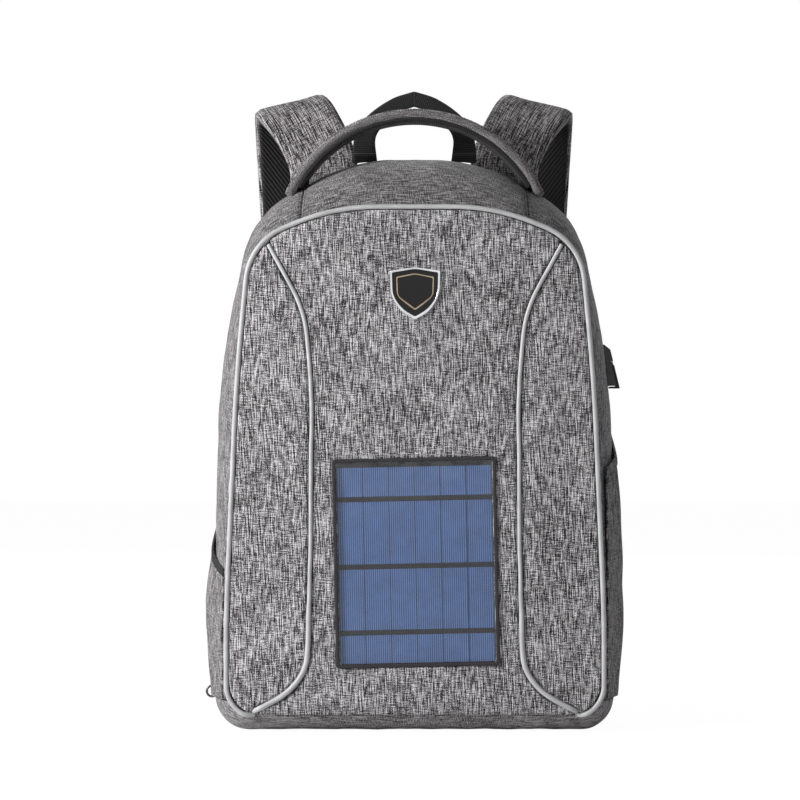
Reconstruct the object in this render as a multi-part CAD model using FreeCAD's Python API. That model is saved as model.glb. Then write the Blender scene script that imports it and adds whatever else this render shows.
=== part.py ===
"""Solar backpack: fabric shell, front solar panel, side port, hinged back panel and carrying straps.

Millimetres. +Z is up, the front faces -Y, and the origin is the centre of the base's underside.
"""
import FreeCAD, Part
import math
import os

V = FreeCAD.Vector

# ---- Driving dimensions of the shell ----
front_y = -72.0             # seam plane between the front panel and the gussets
rear_y = 72.0               # outer plane of the gussets at the back
front_half_width = 150.0
middle_swell = 14.5         # each side, beyond the front
rear_swell = 12.0
front_bottom = 14.0
front_top = 420.5
middle_top = 466.0
rear_top = 469.0
corner_run = 26.0           # how far the base corners are rounded
wall = 2.5                  # padded fabric wall
board_inset = 22.0          # from the front's half width to the base board's end
gap = 0.3                   # clearance between separate pieces
base_height = 26.0
handle_seam_x = 92.0        # where the top gusset meets the side gussets

# ---- Front panel ----
panel_edge = 3.0            # thickness at the seam
panel_crown = 8.0           # thickness at the centre
panel_bevel = 12.0          # width of the rolled border
outer_piping_radius = 2.0
inner_piping_radius = 1.8
piping_tail_x = 122.0        # where the outer piping ends under the front
drawn_half_width = 150.0     # the panel on which the inner seams' points were laid out
drawn_height = 406.5
drawn_bottom = 14.0

# ---- Solar window ----
window_x = 0.7
window_z = 137.5
window_width = 131.0
window_height = 167.0
window_tilt = 1.2           # degrees, as sewn
window_border = 3.0
laminate_width = 125.0
laminate_height = 163.0
laminate_thickness = 1.5
cell_columns = 6
cell_gap = 0.6
cell_row_gap = 4.2
cell_row_heights = (23.2, 49.7, 48.4, 22.4)
cell_top_margin = 5.2
cell_thickness = 0.3
cells_width = 123.4
film_thickness = 0.4
frame_thickness = 1.9

# ---- Regulator behind the solar laminate ----
regulator_width = 62.0
regulator_height = 38.0
regulator_depth = 13.0
case_wall = 1.6
board_thickness = 1.6
usb_width = 13.2
usb_height = 5.7
usb_depth = 14.0
usb_shell = 0.4

# ---- Badge ----
badge_width = 40.0
badge_bottom = 331.0
badge_top = 373.0
badge_thickness = 1.6
badge_rim_width = 1.6
badge_line_inset = 5.0
prong_radius = 1.0
prong_spacing = 16.0

# ---- Top handle and hang loop ----
handle_y = 10.0
handle_half_span = 94.0
handle_apex = 508.0
handle_width = 32.0
handle_cover_thickness = 7.0
handle_lining_thickness = 3.0
handle_anchor_radius = 7.7
handle_anchor_length = 14.0
loop_y = 46.0
loop_rise = 55.0            # from its foot to its point
loop_half_width = 44.0
loop_band = 16.0
loop_thickness = 2.4
loop_anchor_radius = 3.0

# ---- Side pockets ----
pocket_stand_off = 6.5
pocket_wall = 1.5
pocket_front_y = -64.0
pocket_rear_y = 48.0
pocket_mouths = {"left": (124.0, 152.0), "right": (204.0, 236.0)}     # heights at the front and rear ends
elastic_height = 8.0
pocket_full_y = -18.0       # behind this a pocket stands off in full
pocket_full_z = 92.0        # and between these heights
pocket_hold_z = 122.0
flat_room = 0.9             # left behind the tall pocket's drawn-in mouth

# ---- Rear zip and back panel ----
zip_y = 60.0
zip_gap = 1.6
zip_tape_width = 7.2
zip_tape_thickness = 0.8
zip_chain_width = 1.5
zip_chain_rise = 2.0
zip_chain_inside = 1.2
shell_rear_y = 54.0
rim_front_y = 66.0
back_board_thickness = 5.0
back_pad_thickness = 8.0
back_pad_width = 104.0
back_pad_height = 240.0
back_pad_x = 66.0
back_pad_bottom = 148.0
lumbar_width = 220.0
lumbar_height = 74.0
lumbar_bottom = 58.0
luggage_band = 60.0
luggage_thickness = 2.0
luggage_room = 5.5          # free depth over the pads for a suitcase handle
luggage_half_width = 146.0
sleeve_width = 256.0
sleeve_height = 240.0
sleeve_bottom = 44.0
sleeve_wall = 2.0
sleeve_room = 12.0

# ---- Shoulder straps ----
strap_width = 58.0
strap_tip_width = 46.0
strap_layer = 3.0           # cover and lining
strap_core = 6.0
strap_lean = 13.0           # degrees, outer edge down where the strap crosses the crown
lock_width = 40.0
lock_height = 28.0
lock_thickness = 6.0
lock_bar = 5.0
webbing_width = 25.0
webbing_thickness = 2.0
strap_anchor_x = 134.0
strap_anchor_z = 50.0

# ---- Side port ----
port_y = 0.0
port_bottom = 276.5
port_top = 312.5
port_division = 299.0
port_width = 26.0
port_rise = 8.5             # how far the flat bottom stands out
port_top_rise = 4.0
flap_thickness = 1.6
port_pin_radius = 1.0
port_hole_half = 8.5
screw_radius = 1.2
screw_head_radius = 2.3
screw_head_height = 1.2
screw_bite = 2.0            # into the housing, beyond the cloth
screw_offset = 10.7

# ---- Zip slider and pull ring ----
slider_length = 12.0
slider_width = 9.0
slider_plate = 1.5
slider_bottom = 27.0
bail_radius = 0.9
ring_wire_radius = 1.0
ring_radius = 4.5

middle_half_width = front_half_width + middle_swell
rear_half_width = front_half_width + rear_swell
os.makedirs("parts", exist_ok=True)


def save(name, *shapes):
    """Write one piece, or a group of separate solids, to its own file."""
    solids = [solid for shape in shapes for solid in shape.Solids]
    shape = solids[0] if len(solids) == 1 else Part.makeCompound(solids)
    shape.exportStep("parts/" + name + ".step")
    return shape


def box(x0, x1, y0, y1, z0, z1):
    return Part.makeBox(x1 - x0, y1 - y0, z1 - z0, V(x0, y0, z0))


def mirrored(shape):
    return shape.mirror(V(0, 0, 0), V(1, 0, 0))


def rounded_edges(points, reaches, closed):
    """Straight runs joined by tangent arcs; each arc reaches the given length along its runs."""
    count = len(points)
    starts, arcs, ends = [], [], []
    for index, point in enumerate(points):
        if not closed and index in (0, count - 1):
            starts.append(point)
            arcs.append(None)
            ends.append(point)
            continue
        back = points[index - 1] - point
        ahead = points[(index + 1) % count] - point
        reach = min(reaches[index], 0.45 * back.Length, 0.45 * ahead.Length)
        back.normalize()
        ahead.normalize()
        half_turn = (math.pi - back.getAngle(ahead)) / 2
        radius = reach / math.tan(half_turn)
        inwards = back + ahead
        inwards.normalize()
        middle = point + inwards * (radius / math.cos(half_turn) - radius)
        starts.append(point + back * reach)
        ends.append(point + ahead * reach)
        arcs.append(Part.Arc(starts[-1], middle, ends[-1]).toShape())
    edges = []
    for index in range(count):
        if arcs[index] is not None:
            edges.append(arcs[index])
        if closed or index < count - 1:
            edges.append(Part.LineSegment(ends[index], starts[(index + 1) % count]).toShape())
    return edges


def rounded_wire(points, reaches, closed=True):
    return Part.Wire(rounded_edges(points, reaches, closed))


def prism(points, reaches, direction):
    """A rounded outline drawn out along one direction."""
    return Part.Face(rounded_wire(points, reaches)).extrude(direction)


def pipe(points, reaches, radius):
    """A round cord of straight runs and tangent arcs."""
    spine = rounded_wire(points, reaches, closed=False)
    start = points[0]
    profile = Part.Wire([Part.Circle(start, points[1] - start, radius).toShape()])
    return spine.makePipeShell([profile], True, True)


# ---- Outlines of the shell ----
# Corner points of half an outline, as shares of the half width and of the height.
front_corners = ((1.0, 0.0), (1.0, 0.20), (0.945, 0.67), (0.875, 0.932), (0.42, 1.0))
rear_corners = ((1.0, 0.0), (0.995, 0.34), (0.985, 0.63), (0.81, 0.90), (0.33, 1.0))
corner_reaches = (corner_run, 30.0, 60.0, 30.0, 60.0)


def outline(y, half_width, bottom, top, rearness):
    """Closed outline of the shell in the plane y."""
    half = []
    for (front_x, front_z), (rear_x, rear_z) in zip(front_corners, rear_corners):
        x = front_x + (rear_x - front_x) * rearness
        z = front_z + (rear_z - front_z) * rearness
        half.append(V(x * half_width, y, bottom + z * (top - bottom)))
    other = [V(-point.x, y, point.z) for point in reversed(half)]
    reaches = corner_reaches + tuple(reversed(corner_reaches))
    return half + other, reaches


def shell_stations(grow):
    """Outlines from the front seam to the back, each grown outwards by the given amount."""
    depth = rear_y - front_y
    stations = (
        (front_y, front_half_width, front_bottom, front_top, 0.0),
        (front_y + 0.16 * depth, front_half_width + 0.6 * (middle_half_width - front_half_width),
         0.1 * front_bottom, front_top + 0.4 * (middle_top - front_top), 0.45),
        (front_y + 0.5 * depth, middle_half_width, 0.0, front_top + 0.9 * (middle_top - front_top), 0.9),
        (front_y + 0.8 * depth, middle_half_width, 0.0, rear_top, 1.0),
        (rear_y, rear_half_width, 1.0, rear_top - 2.0, 1.0),
    )
    return [outline(y, half + grow, low - grow, high + grow, rearness)
            for y, half, low, high, rearness in stations]


def shell_body(grow):
    wires = [rounded_wire(points, reaches) for points, reaches in shell_stations(grow)]
    return Part.makeLoft(wires, True, False)


reach = 600.0               # larger than the whole object, for cutting blocks
outer = shell_body(0.0)
inner = shell_body(-wall)
tube = outer.cut(inner)


def below(z):
    return box(-reach, reach, -reach, reach, -reach, z)


def above(z):
    return box(-reach, reach, -reach, reach, z, reach)


def between_y(y0, y1):
    return box(-reach, reach, y0, y1, -reach, reach)


def between_x(x0, x1):
    return box(x0, x1, -reach, reach, -reach, reach)


def hit(shape, start, end):
    """Where a straight probe first meets a shape."""
    line = Part.makeLine(start, end)
    points = [vertex.Point for vertex in line.common(shape).Vertexes]
    return min(points, key=lambda point: (point - start).Length)


def side_of(shape, y, z):
    return hit(shape, V(reach, y, z), V(0, y, z)).x


def top_of(shape, x, y):
    return hit(shape, V(x, y, 2 * rear_top), V(x, y, rear_top / 2)).z


# ---- Shell pieces ----
front_part = tube.common(between_y(front_y, shell_rear_y))
upper = front_part.common(above(base_height))
save("top_gusset", upper.common(between_x(-handle_seam_x, handle_seam_x)))
sides = {"right": upper.common(between_x(handle_seam_x, reach))}
sides["left"] = upper.common(between_x(-reach, -handle_seam_x))
base = tube.common(box(-reach, reach, -reach, reach, 0, base_height - gap))
rear_strip = outer.common(box(-reach, reach, rear_y - wall, rear_y, 0, base_height - gap))
save("base_panel", base.fuse(rear_strip).removeSplitter())
board_half = front_half_width - board_inset
board_room = shell_body(-wall - gap).common(between_y(front_y + 22, rear_y - wall - 3))
save("base_board", board_room.common(below(wall + gap + 2.5)).common(between_x(-board_half, board_half)))

# ---- Front panel: one crowned sheet, split along the inner pipings ----
seam_inset = outer_piping_radius - 0.7


def front_outline(grow, y):
    points, reaches = outline(y, front_half_width + grow, front_bottom - grow, front_top + grow, 0.0)
    return points, reaches


edge_y = front_y - panel_edge
crown_y = front_y - panel_crown
crown_drop = panel_crown - panel_edge
crown_radius = front_half_width ** 2 / (2 * crown_drop) + crown_drop / 2
flat_rim = Part.Face(rounded_wire(*front_outline(-seam_inset, front_y))).extrude(V(0, -panel_edge, 0))
bevel = Part.makeLoft([rounded_wire(*front_outline(-seam_inset, edge_y)),
                       rounded_wire(*front_outline(-seam_inset - panel_bevel, crown_y - gap))], True, True)
crown = Part.makeCylinder(crown_radius, reach, V(0, crown_y + crown_radius, 0), V(0, 0, 1))
front_panel = flat_rim.fuse(bevel).common(crown).removeSplitter()


def face_at(x, z):
    """How far forward the front panel reaches at x, z."""
    return hit(front_panel, V(x, -reach, z), V(x, reach, z)).y


seam_half = front_half_width / drawn_half_width     # the inner seams keep their share of the panel
seam_rise = (front_top - front_bottom) / drawn_height
inner_seam = ((127.0, 20.0), (104.0, 30.0), (86.0, 52.0), (83.5, 144.0), (82.5, 275.0), (88.0, 338.0),
              (116.0, 389.0))
seam_points = [(x * seam_half, front_bottom + (z - drawn_bottom) * seam_rise) for x, z in inner_seam]
seam_reaches = [20.0] * len(seam_points)


def centre_region(grow):
    """Everything between the two inner seams, widened by the given amount."""
    low_x, low_z = seam_points[0]
    high_x, high_z = seam_points[-1]
    right = [V(low_x + 30, 0, low_z - 40)]
    right += [V(x, 0, z) for x, z in seam_points]
    right += [V(high_x + 40, 0, high_z + 70)]
    left = [V(-point.x, 0, point.z) for point in reversed(right)]
    reaches = [5.0, 0.5] + seam_reaches[1:-1] + [0.5, 5.0]
    face = Part.Face(rounded_wire(right + left, reaches + reaches[::-1]))
    return face.makeOffset2D(grow).extrude(V(0, -reach, 0))


seam_half_gap = inner_piping_radius + gap
centre_panel = front_panel.common(centre_region(-seam_half_gap))
side_panels = front_panel.cut(centre_region(seam_half_gap))
save("front_right_panel", side_panels.common(between_x(0, reach)))
save("front_left_panel", side_panels.common(between_x(-reach, 0)))

piping_points = [V(x, face_at(x, z) + 0.4, z) for x, z in seam_points]
right_piping = pipe(piping_points, seam_reaches, inner_piping_radius)
save("inner_pipings", mirrored(right_piping), right_piping)

piping_y = front_y - gap - outer_piping_radius
rim_points, rim_reaches = front_outline(1.0, piping_y)
tail = V(0.5 * front_half_width, piping_y, front_bottom - 1.0)
rim_path = [tail] + rim_points + [V(-tail.x, tail.y, tail.z)]
rim_cord = pipe(rim_path, [0.0] + list(rim_reaches) + [0.0], outer_piping_radius)
between_tails = box(-piping_tail_x, piping_tail_x, -reach, reach, 0, front_bottom + 4 * outer_piping_radius)
save("outer_piping", rim_cord.cut(between_tails))

# ---- Solar window, drawn flat and then tilted about its own centre ----
window_centre = V(window_x, 0, window_z)


def plate(width, height, y_back, thickness, radius, x=0.0, z=0.0):
    """A flat rounded plate in the window's own axes; y_back is its rear face."""
    half_x, half_z = width / 2, height / 2
    corners = [V(x + half_x, 0, z - half_z), V(x + half_x, 0, z + half_z),
               V(x - half_x, 0, z + half_z), V(x - half_x, 0, z - half_z)]
    face = Part.Face(rounded_wire(corners, [radius] * 4))
    return face.extrude(V(0, -thickness, 0)).translated(V(window_x, y_back, window_z))


def tilted(shape):
    return shape.rotated(window_centre, V(0, -1, 0), window_tilt)


laminate_y = crown_y + 4.5
film_y = crown_y + 1.7
laminate_pocket = plate(laminate_width + 2 * gap, laminate_height + 2 * gap, laminate_y, 20, 2.0)
frame_pocket = plate(window_width + 2 * gap, window_height + 2 * gap, film_y, 20, 3.0)
case_hole = plate(regulator_width + 2 * gap, regulator_height + 2 * gap, laminate_y + 20, 40, 3.0)
window_cut = tilted(laminate_pocket.fuse(frame_pocket).fuse(case_hole))

save("window_film", tilted(plate(window_width - 1, window_height - 1, film_y, film_thickness, 2.5)))
frame_y = film_y - film_thickness
frame_outer = plate(window_width, window_height, frame_y, frame_thickness, 3.0)
frame_inner = plate(window_width - 2 * window_border, window_height - 2 * window_border,
                    frame_y + 1, frame_thickness + 2, 1.0)
save("window_frame", tilted(frame_outer.cut(frame_inner)))
save("solar_laminate", tilted(plate(laminate_width, laminate_height, laminate_y, laminate_thickness, 1.5)))

cells_y = laminate_y - laminate_thickness
cell_width = (cells_width - (cell_columns - 1) * cell_gap) / cell_columns
cells = []
row_top = laminate_height / 2 - cell_top_margin
for row_height in cell_row_heights:
    row_z = row_top - row_height / 2
    for column in range(cell_columns):
        cell_x = (column - (cell_columns - 1) / 2) * (cell_width + cell_gap)
        cells.append(tilted(plate(cell_width, row_height, cells_y, cell_thickness, 0.4, cell_x, row_z)))
    row_top -= row_height + cell_row_gap
save("solar_cells", *cells)

# ---- Regulator on the back of the laminate ----
case_front = laminate_y
case = plate(regulator_width, regulator_height, case_front + regulator_depth, regulator_depth, 3.0)
lid_thickness = case_wall
case_room = plate(regulator_width - 2 * case_wall, regulator_height - 2 * case_wall,
                  case_front + regulator_depth + 1, regulator_depth + 1 - case_wall, 1.5)
usb_z = -regulator_height / 2 + usb_depth / 2
usb_y = case_front + regulator_depth - lid_thickness - gap
usb_slot = plate(usb_width + 2 * gap, usb_depth + 2, usb_y + gap, usb_height + 2 * gap, 0.3, 0.0, usb_z - 2)
save("regulator_case", tilted(case.cut(case_room).cut(usb_slot)))
lid = plate(regulator_width - 2 * case_wall - 2 * gap, regulator_height - 2 * case_wall - 2 * gap,
            case_front + regulator_depth, lid_thickness, 1.2)
save("regulator_lid", tilted(lid))
usb_body = plate(usb_width, usb_depth, usb_y, usb_height, 0.3, 0.0, usb_z)
usb_room = plate(usb_width - 2 * usb_shell, usb_depth, usb_y - usb_shell, usb_height - 2 * usb_shell, 0.2,
                 0.0, usb_z - 1)
save("regulator_usb_socket", tilted(usb_body.cut(usb_room)))
board_y = usb_y - usb_height - 0.1
save("regulator_board", tilted(plate(regulator_width - 2 * case_wall - 2, regulator_height - 2 * case_wall - 2,
                                     board_y, board_thickness, 1.0)))

# ---- Badge: a shield with a raised rim, held by two prongs through a backing plate ----
badge_middle = (badge_bottom + badge_top) / 2


def shield(inset, y_back, thickness):
    half = badge_width / 2 - inset
    low = badge_bottom + 1.5 * inset
    high = badge_top - inset
    shoulder = high - 3.0
    right = [(half, shoulder), (half - 0.5, badge_middle - 2), (half * 0.55, low + 6)]
    corners = [V(0, 0, high)] + [V(x, 0, z) for x, z in right] + [V(0, 0, low)]
    corners += [V(-x, 0, z) for x, z in reversed(right)]
    reaches = [3.0, 1.0, 8.0, 7.0, 1.5, 7.0, 8.0, 1.0]
    return prism(corners, reaches, V(0, -thickness, 0)).translated(V(0, y_back, 0))


badge_y = crown_y - 0.1
save("badge_rim", shield(0, badge_y, badge_thickness + 0.8).cut(
    shield(badge_rim_width, badge_y + 1, badge_thickness + 3)))
line_groove = shield(badge_line_inset, badge_y, 10).cut(shield(badge_line_inset + 0.8, badge_y, 10))
prongs = [Part.makeCylinder(prong_radius, panel_crown + 2, V(side * prong_spacing / 2, badge_y, badge_middle),
                            V(0, 1, 0)) for side in (-1, 1)]
face_plate = shield(badge_rim_width + 0.05, badge_y, badge_thickness)
inlay_y = badge_y - badge_thickness + 0.3
inlay = line_groove.common(between_y(inlay_y - 0.5, inlay_y))
save("badge_plate", face_plate.fuse(prongs).cut(line_groove.common(between_y(-reach, inlay_y))))
save("badge_inlay", inlay)
prong_holes = [Part.makeCylinder(prong_radius + gap, 20, V(side * prong_spacing / 2, crown_y - 5, badge_middle),
                                 V(0, 1, 0)) for side in (-1, 1)]
washer = box(-prong_spacing, prong_spacing, front_y + 0.1, front_y + 1.1, badge_middle - 6, badge_middle + 6)
for hole in prong_holes:
    washer = washer.cut(hole)
save("badge_backing_plate", washer)

save("front_centre_panel", centre_panel.cut(window_cut).cut(prong_holes[0]).cut(prong_holes[1]))

# ---- Side pockets: an outer sheet standing off the gusset, open along a slanted mouth ----


def pocket_region(mouth, inset, raise_by):
    """Side view of a pocket, drawn out to the right; inset leaves the sewn edges."""
    front_mouth, rear_mouth = mouth
    mouth_slope = (rear_mouth - front_mouth) / (pocket_rear_y - pocket_front_y)
    y0 = pocket_front_y + inset
    y1 = pocket_rear_y - inset
    low = base_height + inset
    front_z = front_mouth + mouth_slope * inset + raise_by
    rear_z = rear_mouth - mouth_slope * inset + raise_by
    corners = [V(0, y0, low), V(0, y1, low), V(0, y1, rear_z), V(0, y0, front_z), V(0, y0, low)]
    return Part.Face(Part.makePolygon(corners)).extrude(V(reach, 0, 0))


def pocket_taper(inset, top_z, top_stand):
    """Lets the sheet run down onto the gusset towards its front, its lower seam and its mouth."""
    full = pocket_stand_off + pocket_wall
    front_x = side_of(outer, pocket_front_y, pocket_full_z) + pocket_wall - inset
    full_x = side_of(outer, pocket_full_y, pocket_full_z) + full - inset
    low_x = side_of(outer, 0, base_height) + pocket_wall - inset
    high_x = side_of(outer, 0, pocket_full_z) + full - inset
    hold_x = side_of(outer, 0, pocket_hold_z) + full - inset
    top_x = side_of(outer, 0, top_z) + top_stand - inset
    plan = [V(0, pocket_front_y, 0), V(front_x, pocket_front_y, 0), V(full_x, pocket_full_y, 0),
            V(reach, pocket_full_y, 0), V(reach, rear_y, 0), V(0, rear_y, 0), V(0, pocket_front_y, 0)]
    rise = [V(0, front_y, base_height), V(low_x, front_y, base_height), V(high_x, front_y, pocket_full_z),
            V(hold_x, front_y, pocket_hold_z), V(top_x, front_y, top_z), V(top_x, front_y, reach),
            V(0, front_y, reach), V(0, front_y, base_height)]
    sideways = Part.Face(Part.makePolygon(plan)).extrude(V(0, 0, reach))
    upwards = Part.Face(Part.makePolygon(rise)).extrude(V(0, 2 * rear_y, 0))
    return sideways.common(upwards)


pocket_full = pocket_stand_off + pocket_wall
mouth_stands = {"left": pocket_full, "right": pocket_wall + flat_room}
elastics = []
for side_name, mouth in pocket_mouths.items():
    top_z = mouth[1] + elastic_height
    stand = mouth_stands[side_name]
    skin = shell_body(pocket_full).common(pocket_taper(0, top_z, stand))
    room = shell_body(pocket_stand_off).common(pocket_taper(pocket_wall, top_z, stand))
    block = skin.cut(outer).common(pocket_region(mouth, 0, 0))
    pocket = block.cut(room.common(pocket_region(mouth, pocket_wall, 4 * elastic_height)))
    elastic = shell_body(pocket_full + 0.8).common(pocket_taper(-0.8, top_z, stand))
    elastic = elastic.cut(shell_body(pocket_stand_off - 0.4).common(pocket_taper(pocket_wall + 0.4, top_z, stand)))
    elastic = elastic.cut(outer).common(pocket_region(mouth, 0, elastic_height).cut(pocket_region(mouth, -1, 0)))
    if side_name == "left":
        pocket, elastic = mirrored(pocket), mirrored(elastic)
    save(side_name + "_side_pocket", pocket)
    elastics.append(elastic)
save("pocket_elastics", *elastics)

# ---- Top handle: a curved padded band swinging about its sewn roots ----
root_z = min(top_of(outer, handle_half_span, handle_y), top_of(outer, -handle_half_span, handle_y))
handle_axis_z = root_z + 1.0
handle_foot = handle_axis_z + handle_anchor_radius + gap
handle_inner_apex = handle_apex - handle_cover_thickness - handle_lining_thickness
handle_rise = handle_inner_apex - handle_axis_z
handle_radius = (handle_half_span ** 2 + handle_rise ** 2) / (2 * handle_rise)
handle_centre_z = handle_inner_apex - handle_radius


def hoop(inner_radius, thickness):
    """A band bent round the handle's own centre, kept above its feet."""
    blocks = [Part.makeCylinder(radius, handle_width, V(0, handle_y - handle_width / 2, handle_centre_z),
                                V(0, 1, 0)) for radius in (inner_radius + thickness, inner_radius)]
    return blocks[0].cut(blocks[1]).common(above(handle_foot))


save("handle_lining", hoop(handle_radius, handle_lining_thickness))
save("handle_cover", hoop(handle_radius + handle_lining_thickness, handle_cover_thickness))
anchors = []
for side in (-1, 1):
    start = V(side * handle_half_span - handle_anchor_length / 2, handle_y, handle_axis_z)
    roll = Part.makeCylinder(handle_anchor_radius, handle_anchor_length, start, V(1, 0, 0))
    anchors.append(roll.cut(outer))
save("handle_anchors", *anchors)

# ---- Hang loop: flat webbing folded to a soft point, behind the handle ----
loop_root_z = top_of(outer, 0, loop_y) + loop_anchor_radius + gap
loop_foot = loop_root_z + loop_anchor_radius + gap
loop_apex = loop_foot + loop_rise


def arch(inset, foot):
    half = loop_half_width - inset
    top = loop_apex - 0.75 * inset
    corners = [V(half, 0, foot), V(half - 3, 0, foot + 0.35 * (top - foot)), V(0, 0, top),
               V(3 - half, 0, foot + 0.35 * (top - foot)), V(-half, 0, foot)]
    shape = prism(corners, [0.5, 12.0, 10.0, 12.0, 0.5], V(0, loop_thickness, 0))
    return shape.translated(V(0, loop_y - loop_thickness / 2, 0))


save("hang_loop", arch(0, loop_foot).cut(arch(loop_band, loop_foot - 5)))
loop_leg_x = loop_half_width - loop_band / 2
loop_anchors = []
for side in (-1, 1):
    start = V(side * loop_leg_x - loop_band / 2, loop_y, loop_root_z)
    roll = Part.makeCylinder(loop_anchor_radius, loop_band, start, V(1, 0, 0))
    stem_x = side * loop_leg_x
    stem = box(stem_x - loop_band / 2, stem_x + loop_band / 2, loop_y - 1.2, loop_y + 1.2,
               loop_root_z - loop_anchor_radius - 10, loop_root_z)
    loop_anchors.append(roll.fuse(stem).cut(outer))
save("hang_loop_anchors", *loop_anchors)

# ---- Rear zip: one tape and chain on the shell, one on the hinged back panel ----
zip_foot = base_height + 2.0
chain_edge = zip_gap / 2
tape_skin = shell_body(zip_tape_thickness).cut(outer)
chain_skin = shell_body(zip_chain_rise).cut(shell_body(-zip_chain_inside))
for piece, side in (("shell", -1), ("panel", 1)):
    near = zip_y + side * chain_edge
    middle = near + side * zip_chain_width
    far = middle + side * (zip_tape_width - zip_chain_width)
    tape_block = between_y(min(middle, far), max(middle, far)).common(above(zip_foot))
    chain_block = between_y(min(near, middle), max(near, middle)).common(above(zip_foot))
    save(piece + "_zip_tape", tape_skin.common(tape_block))
    save(piece + "_zip_chain", chain_skin.common(chain_block))

# ---- Back panel with its rim, pads, luggage strap and laptop sleeve ----
hinge_z = base_height
save("back_rim", tube.common(between_y(rim_front_y, rear_y)).common(above(hinge_z + gap)))
rear_points, rear_reaches = outline(0, rear_half_width - wall - gap, 1.0 + wall + gap,
                                    rear_top - 2.0 - wall - gap, 1.0)
board_front_y = rear_y - back_board_thickness + 2.0
board = prism(rear_points, rear_reaches, V(0, back_board_thickness, 0)).translated(V(0, board_front_y, 0))
save("back_panel", board.common(above(hinge_z + gap)))
board_rear_y = board_front_y + back_board_thickness


def pad(x, z, width, height, thickness, radius):
    corners = [V(x - width / 2, board_rear_y, z), V(x + width / 2, board_rear_y, z),
               V(x + width / 2, board_rear_y, z + height), V(x - width / 2, board_rear_y, z + height)]
    block = prism(corners, [radius] * 4, V(0, thickness, 0))
    front_edges = [edge for edge in block.Edges
                   if edge.BoundBox.YMin > board_rear_y + thickness - 0.01]
    return block.makeFillet(0.4 * thickness, front_edges)


save("right_back_pad", pad(back_pad_x, back_pad_bottom, back_pad_width, back_pad_height,
                           back_pad_thickness, 20.0))
save("left_back_pad", pad(-back_pad_x, back_pad_bottom, back_pad_width, back_pad_height,
                          back_pad_thickness, 20.0))
save("lumbar_pad", pad(0, lumbar_bottom, lumbar_width, lumbar_height, back_pad_thickness, 16.0))
band_z = back_pad_bottom + 0.4 * back_pad_height
band_y = board_rear_y + back_pad_thickness + luggage_room
pads_edge = back_pad_x + back_pad_width / 2
band_line = [V(-luggage_half_width, board_rear_y, band_z), V(-luggage_half_width + 12, board_rear_y, band_z),
             V(-pads_edge - 4, band_y, band_z), V(pads_edge + 4, band_y, band_z),
             V(luggage_half_width - 12, board_rear_y, band_z), V(luggage_half_width, board_rear_y, band_z)]
band_outer = [point + V(0, luggage_thickness, 0) for point in reversed(band_line)]
band_face = Part.Face(Part.makePolygon(band_line + band_outer + band_line[:1]))
save("luggage_strap", band_face.extrude(V(0, 0, luggage_band)))

sleeve_rear_y = board_front_y
sleeve_front_y = sleeve_rear_y - sleeve_room - sleeve_wall
sleeve = box(-sleeve_width / 2, sleeve_width / 2, sleeve_front_y, sleeve_rear_y,
             sleeve_bottom, sleeve_bottom + sleeve_height)
sleeve_space = box(-sleeve_width / 2 + sleeve_wall, sleeve_width / 2 - sleeve_wall,
                   sleeve_front_y + sleeve_wall, sleeve_rear_y + 1,
                   sleeve_bottom + sleeve_wall, sleeve_bottom + sleeve_height + 1)
save("laptop_sleeve", sleeve.cut(sleeve_space))

# ---- Shoulder straps: lining, foam core and cover laid on one curved path ----
# Centre line of the right strap: across from the middle, behind the back panel, above the rear crown.
strap_path = ((75.0, 7.0, -30.0), (79.0, 8.5, 4.0), (93.0, 15.0, 34.0), (106.0, 29.0, 48.0),
              (109.0, 46.0, 46.0), (109.0, 58.0, 30.0), (107.0, 62.0, -4.0), (103.0, 62.0, -70.0),
              (98.0, 59.0, -150.0), (93.0, 56.0, -230.0), (89.0, 52.0, -305.0))
strap_curve = Part.BSplineCurve()
strap_curve.interpolate([V(x, board_rear_y + behind, rear_top + up) for x, behind, up in strap_path])
strap_steps = 26
strap_line = strap_curve.discretize(strap_steps)


def band(points, widths, low, high, lean=0.0):
    """A flat band along points, between two offsets from its centre surface; it leans outwards over the crown."""
    sections = []
    for index, point in enumerate(points):
        ahead = points[min(index + 1, len(points) - 1)] - points[max(index - 1, 0)]
        ahead.normalize()
        across = V(1, 0, 0) - ahead * ahead.x
        across.normalize()
        outwards = across.cross(ahead)
        share = min(1.0, 2.0 * index / (len(points) - 1))
        angle = math.radians(lean) * math.sin(math.pi * share)
        across, outwards = (across * math.cos(angle) - outwards * math.sin(angle),
                            outwards * math.cos(angle) + across * math.sin(angle))
        half = across * (widths[index] / 2)
        corners = [point - half + outwards * low, point + half + outwards * low,
                   point + half + outwards * high, point - half + outwards * high]
        sections.append(Part.makePolygon(corners + corners[:1]))
    return Part.makeLoft(sections, True, True)


last = len(strap_line) - 1
taper_from = strap_steps // 2
strap_widths = [strap_width] * taper_from
strap_widths += [strap_width + (strap_tip_width - strap_width) * step / (last - taper_from)
                 for step in range(last - taper_from + 1)]
half_core = strap_core / 2
layers = {"lining": (-half_core - strap_layer, -half_core), "core": (-half_core, half_core),
          "cover": (half_core, half_core + strap_layer)}
cores = []
strap_foot = strap_line[-1].z
for layer, (low, high) in layers.items():
    right = band(strap_line, strap_widths, low, high, strap_lean)
    strap_foot = min([strap_foot] + [vertex.Z for vertex in right.Vertexes])
    if layer == "core":
        cores = [mirrored(right), right]
    else:
        save("right_strap_" + layer, right)
        save("left_strap_" + layer, mirrored(right))
save("strap_cores", *cores)

# ---- Ladder locks under the strap tips, lower webbing and its anchors ----
tip = strap_line[-1]
bar_radius = lock_thickness / 2
lock_axis_z = strap_foot - bar_radius - gap


def lock_block(width, top, bottom, thickness):
    return box(tip.x - width / 2, tip.x + width / 2, tip.y - thickness / 2, tip.y + thickness / 2, bottom, top)


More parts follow.
